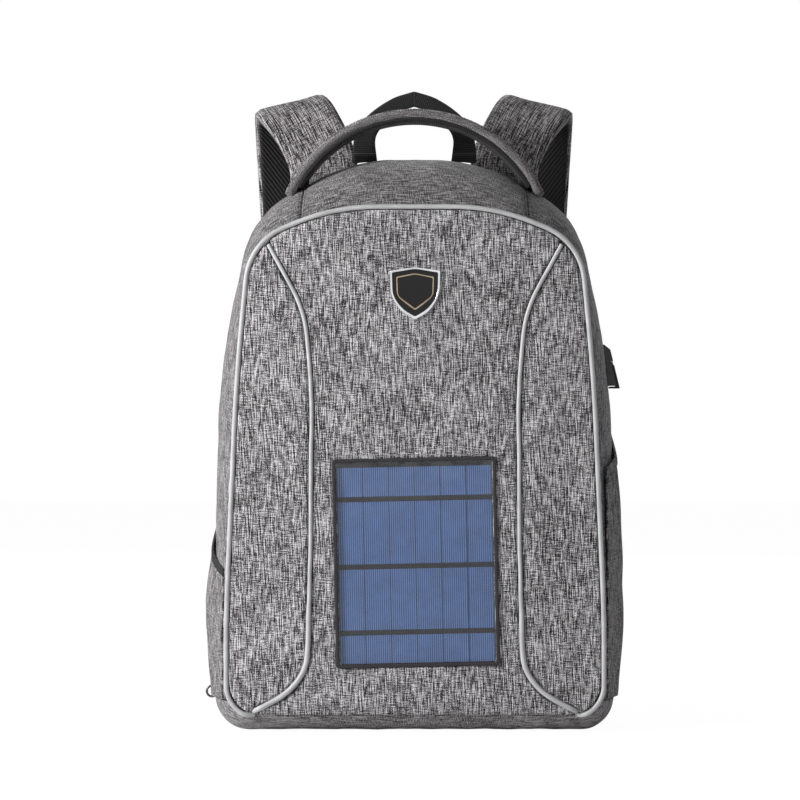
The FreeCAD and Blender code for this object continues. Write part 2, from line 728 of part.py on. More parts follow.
lock_foot = lock_axis_z - lock_height
lock = lock_block(lock_width, lock_axis_z, lock_foot, lock_thickness)
window_tall = (lock_height - bar_radius - 2 * lock_bar) / 2
for window_top in (lock_axis_z - bar_radius, lock_axis_z - bar_radius - window_tall - lock_bar):
    lock = lock.cut(lock_block(lock_width - 10, window_top, window_top - window_tall, 2 * lock_thickness))
lock_bar_piece = Part.makeCylinder(bar_radius, lock_width, V(tip.x - lock_width / 2, tip.y, lock_axis_z),
                                   V(1, 0, 0))
right_lock = lock.fuse(lock_bar_piece).removeSplitter()
save("right_ladder_lock", right_lock)
save("left_ladder_lock", mirrored(right_lock))

tab_thickness = 3.5
tab_rear_y = board_rear_y + tab_thickness
webbing_top = lock_axis_z - math.hypot(lock_height, bar_radius) - gap
webbing_end = V(strap_anchor_x, tab_rear_y + webbing_thickness, strap_anchor_z)
webbing_start = V(tip.x, tip.y, webbing_top)
run = webbing_end - webbing_start
webbing_line = [webbing_start, webbing_start + V(0, 0, 0.12 * run.z),
                webbing_start + V(0.35 * run.x, 0.30 * run.y, 0.45 * run.z),
                webbing_start + V(0.80 * run.x, 0.93 * run.y, 0.80 * run.z), webbing_end]
webbing_half = webbing_thickness / 2
right_webbing = band(webbing_line, [webbing_width] * len(webbing_line), -webbing_half, webbing_half)
save("lower_webbings", mirrored(right_webbing), right_webbing)
tab = box(strap_anchor_x - 17, strap_anchor_x + 17, board_rear_y, tab_rear_y,
          strap_anchor_z - 14, strap_anchor_z + 8)
save("strap_anchors", mirrored(tab), tab)

# ---- Side port: a wedge with a socket in its flat bottom, under a hinged flap ----
port_x = side_of(outer, port_y, port_top)
port_low_x = side_of(outer, port_y, port_bottom)
port_slope = (port_low_x + port_rise - port_x - port_top_rise) / (port_top - port_bottom)


def port_face(z):
    return port_low_x + port_rise - (z - port_bottom) * port_slope


def port_block(corners, half_width):
    face = Part.Face(Part.makePolygon([V(x, port_y - half_width, z) for x, z in corners + corners[:1]]))
    return face.extrude(V(0, 2 * half_width, 0))


half_port = port_width / 2
flap_gap = 2 * gap
flap_foot = port_bottom + flap_thickness
recess = flap_thickness + gap
wedge_low = flap_foot + flap_gap
back_x = port_x - wall + gap
pin_x = port_face(port_division) - 2 * port_pin_radius
knuckle_half = port_hole_half - 4 * gap
round_top = port_top - port_top_rise
wedge = port_block([(back_x, wedge_low), (port_face(wedge_low) - recess, wedge_low),
                    (port_face(port_division) - recess, port_division), (port_face(port_division), port_division),
                    (port_face(round_top), round_top), (port_face(port_top) - port_top_rise, port_top),
                    (back_x, port_top)], half_port)


def port_rod(radius, half_length):
    return Part.makeCylinder(radius, 2 * half_length, V(pin_x, port_y - half_length, port_division), V(0, 1, 0))


port_hole = box(port_x - 30, port_x + 30, port_y - port_hole_half, port_y + port_hole_half,
                port_bottom + 1, port_top - 6)
port_boss = box(port_x - 30, port_x + 30, port_y - port_hole_half + gap, port_y + port_hole_half - gap,
                port_bottom + 1 + gap, port_top - 6 - gap)
housing = wedge.cut(outer).fuse(wedge.common(port_boss)).removeSplitter()
housing = housing.cut(port_rod(2 * port_pin_radius + 3 * gap, knuckle_half + gap))
pin_bore = port_pin_radius + 0.05
pin_half = half_port - 1
housing = housing.cut(port_rod(pin_bore, pin_half + 0.1))

socket_angle = math.degrees(math.atan(port_slope))
socket_middle = port_face(wedge_low) - recess - 0.9 - usb_height / 2


def port_socket_block(depth_width, height, low, high):
    block = box(socket_middle - height / 2, socket_middle + height / 2, port_y - depth_width / 2,
                port_y + depth_width / 2, wedge_low + low, wedge_low + high)
    return block.rotated(V(socket_middle, port_y, wedge_low), V(0, 1, 0), -socket_angle)


housing = housing.cut(port_socket_block(usb_width + 0.2, usb_height + 0.2, -5, usb_depth + 0.3))
socket_outer = port_socket_block(usb_width, usb_height, 0.3, usb_depth)
socket_inner = port_socket_block(usb_width - 2 * usb_shell, usb_height - 2 * usb_shell, -1, usb_depth - usb_shell)
save("port_socket_shell", socket_outer.cut(socket_inner))
tongue = box(socket_middle - 0.2, socket_middle + 1.6, port_y - 5.5, port_y + 5.5,
             wedge_low + 1.5, wedge_low + usb_depth - usb_shell)
save("port_tongue", tongue.rotated(V(socket_middle, port_y, wedge_low), V(0, 1, 0), -socket_angle))

flap_top = port_division - 3 * port_pin_radius - gap
flap_neck = port_division - 0.5 * port_pin_radius
flap = port_block([(port_face(port_bottom), port_bottom), (port_face(flap_top), flap_top),
                   (port_face(flap_top) - flap_thickness, flap_top),
                   (port_face(flap_foot) - flap_thickness, flap_foot), (port_low_x + 1.0, flap_foot),
                   (port_low_x + 1.0, port_bottom)], half_port)
neck = port_block([(port_face(flap_top - 1), flap_top - 1), (port_face(flap_neck) - 0.2, flap_neck),
                   (port_face(flap_neck) - flap_thickness, flap_neck),
                   (port_face(flap_top - 1) - flap_thickness, flap_top - 1)], knuckle_half)
knuckle = port_rod(2 * port_pin_radius, knuckle_half)
save("port_flap", flap.fuse(neck).fuse(knuckle).cut(port_rod(port_pin_radius + 0.15, half_port)).removeSplitter())
save("port_flap_pin", port_rod(port_pin_radius, pin_half))

plate_region = box(0, reach, port_y - half_port - 3, port_y + half_port + 3, port_bottom - 2, port_top + 2)
back_plate = shell_body(-wall - 0.1).cut(shell_body(-wall - 1.6)).common(plate_region).cut(port_hole)
screw_z = (port_bottom + port_top) / 2
screw_x = side_of(outer, port_y, screw_z)
screws = []
for side in (-1, 1):
    screw_y = port_y + side * screw_offset
    plate_backs = [hit(back_plate, V(0, screw_y, z), V(reach, screw_y, z)).x
                   for z in (screw_z - screw_head_radius, screw_z, screw_z + screw_head_radius)]
    screw_start = V(min(plate_backs) - gap, screw_y, screw_z)
    shank_length = screw_x + screw_bite - screw_start.x
    shank = Part.makeCylinder(screw_radius, shank_length, screw_start, V(1, 0, 0))
    head = Part.makeCylinder(screw_head_radius, screw_head_height, screw_start - V(screw_head_height, 0, 0),
                             V(1, 0, 0))
    screws.append(shank.fuse(head).removeSplitter())
    bore = Part.makeCylinder(screw_radius + 0.1, shank_length + 2 * gap, screw_start - V(gap, 0, 0),
                             V(1, 0, 0))
    housing = housing.cut(bore)
    back_plate = back_plate.cut(bore)
    sides["right"] = sides["right"].cut(bore)
save("port_housing", housing)
save("port_back_plate", back_plate)
save("port_screws", *screws)
save("right_gusset", sides["right"].cut(port_hole))
save("left_gusset", sides["left"])

# ---- Zip slider with its pull ring, at the foot of the zip's left run ----
zip_x = side_of(outer, zip_y, slider_bottom + slider_length)
plate_x = zip_x + zip_chain_rise + gap
slider_top = slider_bottom + slider_length
slider = box(-plate_x - slider_plate, -plate_x, zip_y - slider_width / 2, zip_y + slider_width / 2,
             slider_bottom, slider_top)
inside_x = zip_x - zip_chain_inside - 1.0
slider = slider.fuse(box(-inside_x, -inside_x + slider_plate, zip_y - slider_width / 2,
                         zip_y + slider_width / 2, slider_bottom, slider_top))
slider = slider.fuse(box(-plate_x - 0.5, -inside_x + 0.5, zip_y - 0.5, zip_y + 0.5, slider_bottom, slider_top))
bail_x = plate_x + ring_radius + ring_wire_radius + gap
bail_z = slider_bottom - ring_radius
arm_gap = ring_wire_radius + 0.5
for side in (-1, 1):
    arm_y = zip_y + side * (arm_gap + 0.6)
    slider = slider.fuse(box(-bail_x - bail_radius, -plate_x, arm_y - 0.6, arm_y + 0.6,
                             bail_z - bail_radius, slider_bottom + 2))
bail = Part.makeCylinder(bail_radius, 2 * arm_gap + 1, V(-bail_x, zip_y - arm_gap - 0.5, bail_z), V(0, 1, 0))
save("zip_slider", slider.fuse(bail).removeSplitter())
ring_drop = ring_radius - ring_wire_radius - bail_radius - gap
save("zip_pull_ring", Part.makeTorus(ring_radius, ring_wire_radius, V(-bail_x, zip_y, bail_z - ring_drop),
                                     V(0, 1, 0)))
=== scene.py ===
"""Solar backpack: cloth shell, pipings, solar window, badge, port, straps and zip over the CAD frame."""
import math

import bmesh
import bpy
import numpy as np
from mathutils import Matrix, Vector, noise
from mathutils.bvhtree import BVHTree


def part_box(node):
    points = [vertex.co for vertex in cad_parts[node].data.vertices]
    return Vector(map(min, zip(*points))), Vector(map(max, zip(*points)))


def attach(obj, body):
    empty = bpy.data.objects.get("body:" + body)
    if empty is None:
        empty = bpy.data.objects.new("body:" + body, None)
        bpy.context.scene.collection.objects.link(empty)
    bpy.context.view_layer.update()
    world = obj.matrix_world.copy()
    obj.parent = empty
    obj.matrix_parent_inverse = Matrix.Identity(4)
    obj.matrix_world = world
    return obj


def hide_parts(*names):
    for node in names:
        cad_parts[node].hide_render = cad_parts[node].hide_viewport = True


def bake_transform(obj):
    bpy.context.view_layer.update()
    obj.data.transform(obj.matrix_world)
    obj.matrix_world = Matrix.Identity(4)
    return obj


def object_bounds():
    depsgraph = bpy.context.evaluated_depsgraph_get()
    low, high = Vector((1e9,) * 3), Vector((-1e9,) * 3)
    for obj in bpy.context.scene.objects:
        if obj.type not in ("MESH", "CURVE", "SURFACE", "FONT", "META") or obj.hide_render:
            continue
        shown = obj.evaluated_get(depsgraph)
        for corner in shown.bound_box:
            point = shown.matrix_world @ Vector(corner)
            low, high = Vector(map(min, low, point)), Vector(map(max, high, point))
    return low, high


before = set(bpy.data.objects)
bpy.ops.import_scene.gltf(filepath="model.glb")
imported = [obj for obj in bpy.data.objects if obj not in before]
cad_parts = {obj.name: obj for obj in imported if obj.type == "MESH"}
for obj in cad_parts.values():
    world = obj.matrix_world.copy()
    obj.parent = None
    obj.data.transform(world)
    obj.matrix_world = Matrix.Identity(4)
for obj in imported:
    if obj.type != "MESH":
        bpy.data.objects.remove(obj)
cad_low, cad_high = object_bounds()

MM = 0.001
PACK, PANEL, HANDLE, LOOP = "pack", "back_panel", "handle", "hang_loop"

# ---- Places read from the frame ----
front_seam_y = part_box("base_panel")[0].y
board_rear_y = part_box("back_panel")[1].y
base_seam_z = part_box("right_gusset")[0].z
top_seam_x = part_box("top_gusset")[1].x
shell_top_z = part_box("top_gusset")[1].z
body_middle = (0.0, 0.46 * shell_top_z)


def linked(name, data):
    """A new object with this data, in the scene."""
    made = bpy.data.objects.new(name, data)
    bpy.context.collection.objects.link(made)
    return made


def mesh_from(name, points, faces):
    mesh = bpy.data.meshes.new(name)
    mesh.from_pydata([tuple(p) for p in points], [], faces)
    return mesh


# ---- Camera: level, straight at the front, a little left of the middle ----
CAMERA_DISTANCE = 2.2
VIEW_WIDTH = 0.64
SENSOR = 36.0
CAMERA_SIDE, CAMERA_HEIGHT = -0.012, 0.267
camera_data = bpy.data.cameras.new("camera")
camera_data.sensor_width = SENSOR
camera_data.lens = SENSOR * CAMERA_DISTANCE / VIEW_WIDTH
camera = linked("camera", camera_data)
camera.location = (CAMERA_SIDE, front_seam_y - CAMERA_DISTANCE, CAMERA_HEIGHT)
camera.rotation_euler = (math.radians(90), 0, 0)
bpy.context.scene.camera = camera
bpy.context.scene.view_settings.view_transform = "Standard"


# ---- Materials ----
def colour(code):
    """sRGB hex to linear RGBA."""
    parts = [int(code[i:i + 2], 16) / 255 for i in (0, 2, 4)]
    return tuple(p / 12.92 if p < 0.04045 else ((p + 0.055) / 1.055) ** 2.4 for p in parts) + (1.0,)


def add(tree, kind, sockets=(), stops=(), **settings):
    """Add a node, set its settings and ramp stops, and fill its inputs with values or links."""
    made = tree.nodes.new(kind)
    for key, value in settings.items():
        setattr(made, key, value)
    for key, value in dict(sockets).items():
        if isinstance(value, bpy.types.NodeSocket):
            tree.links.new(value, made.inputs[key])
        else:
            made.inputs[key].default_value = value
    for index, (place, code) in enumerate(stops):
        marks = made.color_ramp.elements
        mark = marks[index] if index < len(marks) else marks.new(place)
        mark.position = place
        mark.color = colour(code)
    return made


def new_material(name, **values):
    """An empty Principled material with its plain values on the shader's own sockets."""
    material = bpy.data.materials.new(name)
    material.use_nodes = True
    shader = material.node_tree.nodes["Principled BSDF"]
    for key, value in values.items():
        shader.inputs[key.replace("_", " ")].default_value = value
    return material, material.node_tree, shader


SLUB_WIDTH, SLUB_LENGTH = 0.7 * MM, 13 * MM
WARP_SLANT, WEFT_SLANT = 0.6, 0.9
CLOUDS_PER_METRE = 22.0


def melange_cloth(name, dark, middle, light, turned=False, bump=0.35):
    """Woven melange polyester. Its slub yarns are drawn coarser than life so that they show, and run in streaks
    of several millimetres: light and dark threads over grey, dull, with a faint fuzz of sheen."""
    material, tree, shader = new_material(name, Roughness=0.9, Sheen_Weight=0.15, Sheen_Roughness=0.5,
                                          Specular_IOR_Level=0.2)
    uv = add(tree, "ShaderNodeUVMap", uv_map="cloth").outputs["UV"]
    wide, long = 1 / SLUB_WIDTH, 1 / SLUB_LENGTH
    warp_scale = (long, wide, 1.0) if turned else (wide, long, 1.0)
    weft_scale = (wide, 1.6 * long, 1.0) if turned else (1.6 * long, wide, 1.0)
    threads = []
    for slant, scale in ((WARP_SLANT, warp_scale), (WEFT_SLANT, weft_scale)):
        place = add(tree, "ShaderNodeMapping", {"Vector": uv, "Rotation": (0, 0, slant), "Scale": scale})
        threads.append(add(tree, "ShaderNodeTexNoise", {"Vector": place.outputs[0], "Scale": 1.0, "Detail": 1.0,
                                                        "Roughness": 0.6}).outputs["Fac"])
    warp, weft = threads
    speck = add(tree, "ShaderNodeTexNoise", {"Vector": uv, "Scale": wide, "Detail": 1.0}).outputs["Fac"]
    cloud = add(tree, "ShaderNodeTexNoise", {"Vector": uv, "Scale": CLOUDS_PER_METRE,
                                             "Detail": 3.0}).outputs["Fac"]
    yarns = add(tree, "ShaderNodeMath", {0: warp, 1: 0.42}, operation="MULTIPLY").outputs[0]
    woven = add(tree, "ShaderNodeMath", {0: weft, 1: 0.24, 2: yarns}, operation="MULTIPLY_ADD").outputs[0]
    grained = add(tree, "ShaderNodeMath", {0: speck, 1: 0.28, 2: woven}, operation="MULTIPLY_ADD").outputs[0]
    mixed = add(tree, "ShaderNodeMath", {0: cloud, 1: 0.06, 2: grained}, operation="MULTIPLY_ADD").outputs[0]
    tint = add(tree, "ShaderNodeValToRGB", {0: mixed}, stops=((0.42, dark), (0.495, middle), (0.57, light)))
    tree.links.new(tint.outputs["Color"], shader.inputs["Base Color"])
    relief = add(tree, "ShaderNodeBump", {"Height": woven, "Strength": bump, "Distance": 0.5 * MM})
    tree.links.new(relief.outputs[0], shader.inputs["Normal"])
    return material


def ribbed_cloth(name, valley_shade, ridge_light, pitch, turn=90.0, depth=0.5, roughness=0.75):
    """Webbing, air mesh, twill, elastic or zip tape: raised ribs at their real pitch, dull, with painted shade
    darkening the valleys between them and painted light on their tops.
    """
    material, tree, shader = new_material(name, Roughness=roughness, Sheen_Weight=0.1, Specular_IOR_Level=0.25)
    uv = add(tree, "ShaderNodeUVMap", uv_map="cloth").outputs["UV"]
    placed = add(tree, "ShaderNodeMapping", {"Vector": uv, "Rotation": (0, 0, math.radians(turn))})
    # a band wave repeats every 2 pi / 20 of its scaled length
    ribs = add(tree, "ShaderNodeTexWave", {"Vector": placed.outputs[0], "Scale": math.pi / 10 / pitch,
                                           "Distortion": 0.5, "Detail": 1.0, "Detail Scale": 2.0})
    yarn = add(tree, "ShaderNodeTexNoise", {"Vector": uv, "Scale": 1 / (0.9 * MM), "Detail": 2.0})
    height = add(tree, "ShaderNodeMath", {0: yarn.outputs["Fac"], 1: 0.35, 2: ribs.outputs["Fac"]},
                 operation="MULTIPLY_ADD")
    # painted shade: the rib valleys take the dark colour, and painted light gives the rib tops the lighter one,
    # over the yarn's own random tone
    tint = add(tree, "ShaderNodeValToRGB", {0: height.outputs[0]},
               stops=((0.2, valley_shade), (1.15 / 1.2, ridge_light)))
    tree.links.new(tint.outputs["Color"], shader.inputs["Base Color"])
    relief = add(tree, "ShaderNodeBump", {"Height": height.outputs[0], "Strength": 0.7, "Distance": depth * MM})
    tree.links.new(relief.outputs[0], shader.inputs["Normal"])
    return material


def moulded(name, base, worn, roughness, grain=1.1, bump=0.12, **values):
    """Moulded plastic, rubber, enamel or finished metal: grain of that size in mm, tone and gloss that drift a
    little over the surface, as handling leaves them."""
    material, tree, shader = new_material(name, **values)
    place = add(tree, "ShaderNodeTexCoord").outputs["Object"]
    fine = add(tree, "ShaderNodeTexNoise", {"Vector": place, "Scale": 1 / (grain * MM), "Detail": 2.0})
    broad = add(tree, "ShaderNodeTexNoise", {"Vector": place, "Scale": 1 / (14 * MM), "Detail": 3.0})
    tint = add(tree, "ShaderNodeValToRGB", {0: broad.outputs["Fac"]}, stops=((0.35, base), (0.72, worn)))
    tree.links.new(tint.outputs["Color"], shader.inputs["Base Color"])
    rough = add(tree, "ShaderNodeMapRange", {"Value": broad.outputs["Fac"], "From Min": 0.3, "From Max": 0.7,
                                             "To Min": roughness * 0.85, "To Max": roughness * 1.15})
    tree.links.new(rough.outputs[0], shader.inputs["Roughness"])
    relief = add(tree, "ShaderNodeBump", {"Height": fine.outputs["Fac"], "Strength": bump,
                                          "Distance": 0.15 * MM})
    tree.links.new(relief.outputs[0], shader.inputs["Normal"])
    return material


WINDOW_TILT = math.radians(1.2)
CRYSTAL, FINGER_PITCH = 9 * MM, 1.7 * MM


def silicon_cells():
    """Polycrystalline silicon under its blue antireflection coat: crystal patches of a few millimetres, and the
    pale printed contact fingers 1.7 mm apart, under a soft gloss."""
    material, tree, shader = new_material("polycrystalline_silicon", Roughness=0.4, Specular_IOR_Level=0.4)
    place = add(tree, "ShaderNodeTexCoord").outputs["Object"]
    upright = add(tree, "ShaderNodeMapping", {"Vector": place, "Rotation": (0, WINDOW_TILT, 0)})
    crystals = add(tree, "ShaderNodeTexNoise", {"Vector": upright.outputs[0], "Scale": 1 / CRYSTAL,
                                                "Detail": 2.0})
    tone = add(tree, "ShaderNodeValToRGB", {0: crystals.outputs["Fac"]},
               stops=((0.3, "325081"), (0.7, "42629a")))
    # the fingers are drawn wider than life, so that they show
    fingers = add(tree, "ShaderNodeTexWave", {"Vector": upright.outputs[0],
                                              "Scale": math.pi / 10 / FINGER_PITCH})
    lines = add(tree, "ShaderNodeValToRGB", {0: fingers.outputs["Fac"]},
                stops=((0.45, "000000"), (0.85, "c8c8c8")))
    both = add(tree, "ShaderNodeMix", {"Factor": lines.outputs["Color"], 6: tone.outputs["Color"],
                                       7: colour("8fa6d0")}, data_type="RGBA")
    tree.links.new(both.outputs[2], shader.inputs["Base Color"])
    return material


def clear_film():
    """Clear TPU film: see-through, with bright broken glints where it ripples."""
    material = bpy.data.materials.new("clear_tpu_film")
    material.use_nodes = True
    tree = material.node_tree
    tree.nodes.clear()
    place = add(tree, "ShaderNodeTexCoord").outputs["Object"]
    ripple = add(tree, "ShaderNodeTexNoise", {"Vector": place, "Scale": 1 / (22 * MM), "Detail": 2.0})
    relief = add(tree, "ShaderNodeBump", {"Height": ripple.outputs["Fac"], "Strength": 0.15,
                                          "Distance": 2 * MM})
    gloss = add(tree, "ShaderNodeBsdfAnisotropic", {"Color": colour("ffffff"), "Roughness": 0.15,
                                                    "Normal": relief.outputs[0]})
    clear = add(tree, "ShaderNodeBsdfTransparent", {"Color": colour("fafbfc")})
    facing = add(tree, "ShaderNodeLayerWeight", {"Blend": 0.3, "Normal": relief.outputs[0]}).outputs["Facing"]
    steep = add(tree, "ShaderNodeMath", {0: facing, 1: 3.0}, operation="POWER").outputs[0]
    rim = add(tree, "ShaderNodeMath", {0: steep, 1: 0.3, 2: 0.03}, operation="MULTIPLY_ADD")
    both = add(tree, "ShaderNodeMixShader", {0: rim.outputs[0], 1: clear.outputs[0], 2: gloss.outputs[0]})
    add(tree, "ShaderNodeOutputMaterial", {"Surface": both.outputs[0]})
    return material


# melange polyester: warm grey streaks of light and dark yarn, brightest on the face of the bag, whose tones are the
# cloth's own
FRONT_CLOTH = melange_cloth("melange_polyester_front", "151314", "5d5a5c", "eeecee")
# the same cloth cut along the gussets, with its streaks lying down, its tones painted darker than the front's as
# painted shade on the sides of the bag
GUSSET_CLOTH_PAINTED_SHADE = melange_cloth("melange_polyester_gusset_painted_shade", "100f0f", "464344", "c8c5c6", turned=True)
# the same cloth cut upright for the pockets, its tones painted darker than the front's as painted shade, like the
# gussets'
POCKET_CLOTH_PAINTED_SHADE = melange_cloth("melange_polyester_pocket_painted_shade", "100f0f", "464344", "c8c5c6")
# coated inside, so it stands stiffer; its middle tone is painted a little lighter than the front's as painted light
# on the shaded base, and its yarns have lower contrast
BASE_CLOTH_PAINTED_LIGHT = melange_cloth("coated_polyester_base_painted_light", "1a1818", "625e5f", "d2cfd0", turned=True)
# the same cloth over strap and handle, a little darker
STRAP_CLOTH = melange_cloth("melange_polyester_strap", "121011", "484445", "cdcacb")
# woven polypropylene: close black ribs, their tops painted lighter as painted light
WEBBING = ribbed_cloth("black_polypropylene_webbing", "0c0c0d", "2b2b2d", 1.6 * MM)
# warp-knitted spacer mesh: deep slanted cells, nearly black
AIR_MESH = ribbed_cloth("black_air_mesh", "0a0a0b", "2d2d2f", 3.0 * MM, turn=35.0, depth=0.9)
# twill polyester: fine diagonal ribs, plain charcoal black
TWILL = ribbed_cloth("black_twill_polyester", "111112", "2a2a2c", 1.2 * MM, turn=45.0, depth=0.3)
# woven elastic: ribs along its length
ELASTIC = ribbed_cloth("black_rib_elastic", "09090a", "262628", 1.5 * MM, turn=0.0)
# zip tape: the finest ribs, flat
ZIP_TAPE = ribbed_cloth("black_zip_tape", "0f0f10", "262628", 1.0 * MM, turn=0.0, depth=0.2)
# satin-coated cord: an even silver grey line with a soft highlight
PIPING = moulded("silver_satin_piping", "bababb", "cfcfd0", 0.42, grain=0.7, bump=0.2)
# coated binding: flat charcoal, smoother than cloth
WELT = moulded("charcoal_coated_welt", "2f2d2f", "353335", 0.55, grain=2.5, bump=0.05, Specular_IOR_Level=0.3)
# PET-laminated backing: smooth black between the cells
LAMINATE = moulded("black_pet_laminate", "2b2a2d", "302f32", 0.35, grain=6.0, bump=0.02, Specular_IOR_Level=0.3)
CELLS = silicon_cells()
FILM = clear_film()
# fired enamel: deep black with a clean highlight
ENAMEL = moulded("black_enamel", "060607", "0b0b0c", 0.2, bump=0.02, Specular_IOR_Level=0.35)
# plated and polished: a bright mirror rim
CHROME = moulded("bright_chrome", "d4d5d8", "f0f0f2", 0.1, bump=0.02, Metallic=1.0)
# plated inlay: a thin warm line
CHAMPAGNE = moulded("champagne_inlay", "a8937a", "cbb8a0", 0.3, bump=0.05, Metallic=1.0)
# spark-textured ABS: charcoal with a broad dull shine
PORT_PLASTIC = moulded("charcoal_abs", "29292b", "38383a", 0.5)
# moulded silicone: the softest gloss, dark grey
RUBBER = moulded("dark_silicone_rubber", "1e1e20", "2b2b2d", 0.7, bump=0.2)
# black nickel over die-cast zinc: dark smoky metal
DARK_NICKEL = moulded("dark_nickel", "4d4e52", "707175", 0.25, bump=0.05, Metallic=1.0)
# nickel-plated steel: grey metal, slightly brushed by handling
STEEL = moulded("nickel_plated_steel", "9c9da0", "bcbdc0", 0.3, Metallic=1.0)
# acetal: slick black plastic
ACETAL = moulded("black_acetal", "111112", "1e1e20", 0.4)
# nylon coil: black, glossier than its tape
COIL = moulded("black_nylon_coil", "0f0f10", "1d1d1f", 0.38)
# sewing threads: dull twisted polyester, pale on the hem and the window, dark on the seams
PALE_THREAD = moulded("pale_grey_thread", "a9a7a9", "c4c2c4", 0.8, grain=0.4)
DARK_THREAD = moulded("charcoal_thread", "1f1d1e", "302e2f", 0.8, grain=0.4)
# plain moulded case: black with a low sheen
CASE_ABS = moulded("black_case_abs", "17171a", "232326", 0.5)
# solder mask over glass fibre: glossy dark green
CIRCUIT = moulded("green_solder_mask", "0f3d24", "17553a", 0.35)
# extruded polypropylene sheet: dull black
BOARD = moulded("polypropylene_board", "1d1d1e", "29292a", 0.6)


# ---- Mesh helpers ----
def node_mesh(*nodes):
    """Points and faces of these CAD nodes together."""
    points, faces = [], []
    for node in nodes:
        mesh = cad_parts[node].data
        start = len(points)
        points += [vertex.co.copy() for vertex in mesh.vertices]
        faces += [[start + corner for corner in polygon.vertices] for polygon in mesh.polygons]
    return points, faces


def surface_of(*nodes):
    return BVHTree.FromPolygons(*node_mesh(*nodes))


def finished(made, material, body, nodes=()):
    """Faces outwards and smooth, its material on, riding on its body if it is given one, and standing for
    its nodes."""
    shell = bmesh.new()
    shell.from_mesh(made.data)
    bmesh.ops.recalc_face_normals(shell, faces=shell.faces)
    shell.to_mesh(made.data)
    shell.free()
    made.data.materials.clear()
    made.data.materials.append(material)
    made.data.polygons.foreach_set("use_smooth", [True] * len(made.data.polygons))
    if body:
        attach(made, body)
    if nodes:
        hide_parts(*nodes)
    return made


def piece(name, points, faces, material, body, nodes=(), uvs=None):
    """A finished piece from points and faces in place, with one cloth place per point."""
    mesh = mesh_from(name, points, faces)
    mesh.update()
    if uvs is not None:
        layer = mesh.uv_layers.new(name="cloth")
        corners = np.empty(len(mesh.loops), dtype=int)
        mesh.loops.foreach_get("vertex_index", corners)
        layer.data.foreach_set("uv", np.asarray(uvs, dtype=float)[corners].ravel())
    return finished(linked(name, mesh), material, body, nodes)


def worked_out(made):
    """The object's mesh with its modifiers worked out; the object goes."""
    bpy.context.view_layer.update()
    evaluated = made.evaluated_get(bpy.context.evaluated_depsgraph_get())
    mesh = bpy.data.meshes.new_from_object(evaluated)
    bpy.data.objects.remove(made)
    return mesh


def read_points(mesh, field):
    """The mesh's points, or their normals, as rows."""
    values = np.empty(len(mesh.vertices) * 3)
    mesh.vertices.foreach_get(field, values)
    return values.reshape(-1, 3)


def plain_parts(mesh):
    """Points, faces and normals of a mesh that isn't needed any longer."""
    points, normals = read_points(mesh, "co"), read_points(mesh, "normal")
    faces = [list(polygon.vertices) for polygon in mesh.polygons]
    bpy.data.meshes.remove(mesh)
    return points, faces, normals


def remeshed(nodes, voxel, rounds):
    """An object of these CAD nodes, to be worked out as even quads with relaxed edges."""
    made = linked("soft", mesh_from("soft", *node_mesh(*nodes)))
    even = made.modifiers.new("even", "REMESH")
    even.mode = "VOXEL"
    even.voxel_size = voxel
    relax = made.modifiers.new("relax", "SMOOTH")
    relax.iterations = rounds
    relax.factor = 0.5
    return made


def softened(nodes, voxel, rounds):
    """CAD solids as even quads with their sharp edges relaxed, as cloth over a form."""
    return plain_parts(worked_out(remeshed(nodes, voxel, rounds)))


def folded(points, normals, depth, reach, seed, stretch=(1.0, 1.0, 1.0)):
    """Points pushed along their normals by soft folds of that reach."""
    moved = np.array(points)
    for index, (point, normal) in enumerate(zip(points, normals)):
        at = Vector((point[0] * stretch[0], point[1] * stretch[1], point[2] * stretch[2])) / reach
        fold = noise.noise(at + Vector((seed, 0, 0))) + 0.5 * noise.noise(at * 2.3 + Vector((0, seed, 0)))
        moved[index] = np.asarray(point) + np.asarray(normal) * fold * depth
    return moved


def grid_normals(grid):
    """Unit normals of a grid of places."""
    normals = np.cross(np.gradient(grid, axis=1), np.gradient(grid, axis=0))
    return normals / np.maximum(np.linalg.norm(normals, axis=2, keepdims=True), 1e-12)


def grid_lengths(grid):
    """Each point's cloth place in metres, along its row and along its column."""
    step_u = np.linalg.norm(np.diff(grid, axis=1), axis=2).mean(axis=0)
    step_v = np.linalg.norm(np.diff(grid, axis=0), axis=2).mean(axis=1)
    u = np.concatenate([[0], np.cumsum(step_u)])
    v = np.concatenate([[0], np.cumsum(step_v)])
    return np.stack(np.meshgrid(u, v), axis=2)


def evened(grid, rounds):
    """The grid's inside relaxed, with its border kept."""
    grid = np.array(grid)
    for _ in range(rounds):
        inner = (grid[:-2, 1:-1] + grid[2:, 1:-1] + grid[1:-1, :-2] + grid[1:-1, 2:]) / 4
        grid[1:-1, 1:-1] = 0.5 * grid[1:-1, 1:-1] + 0.5 * inner
    return grid


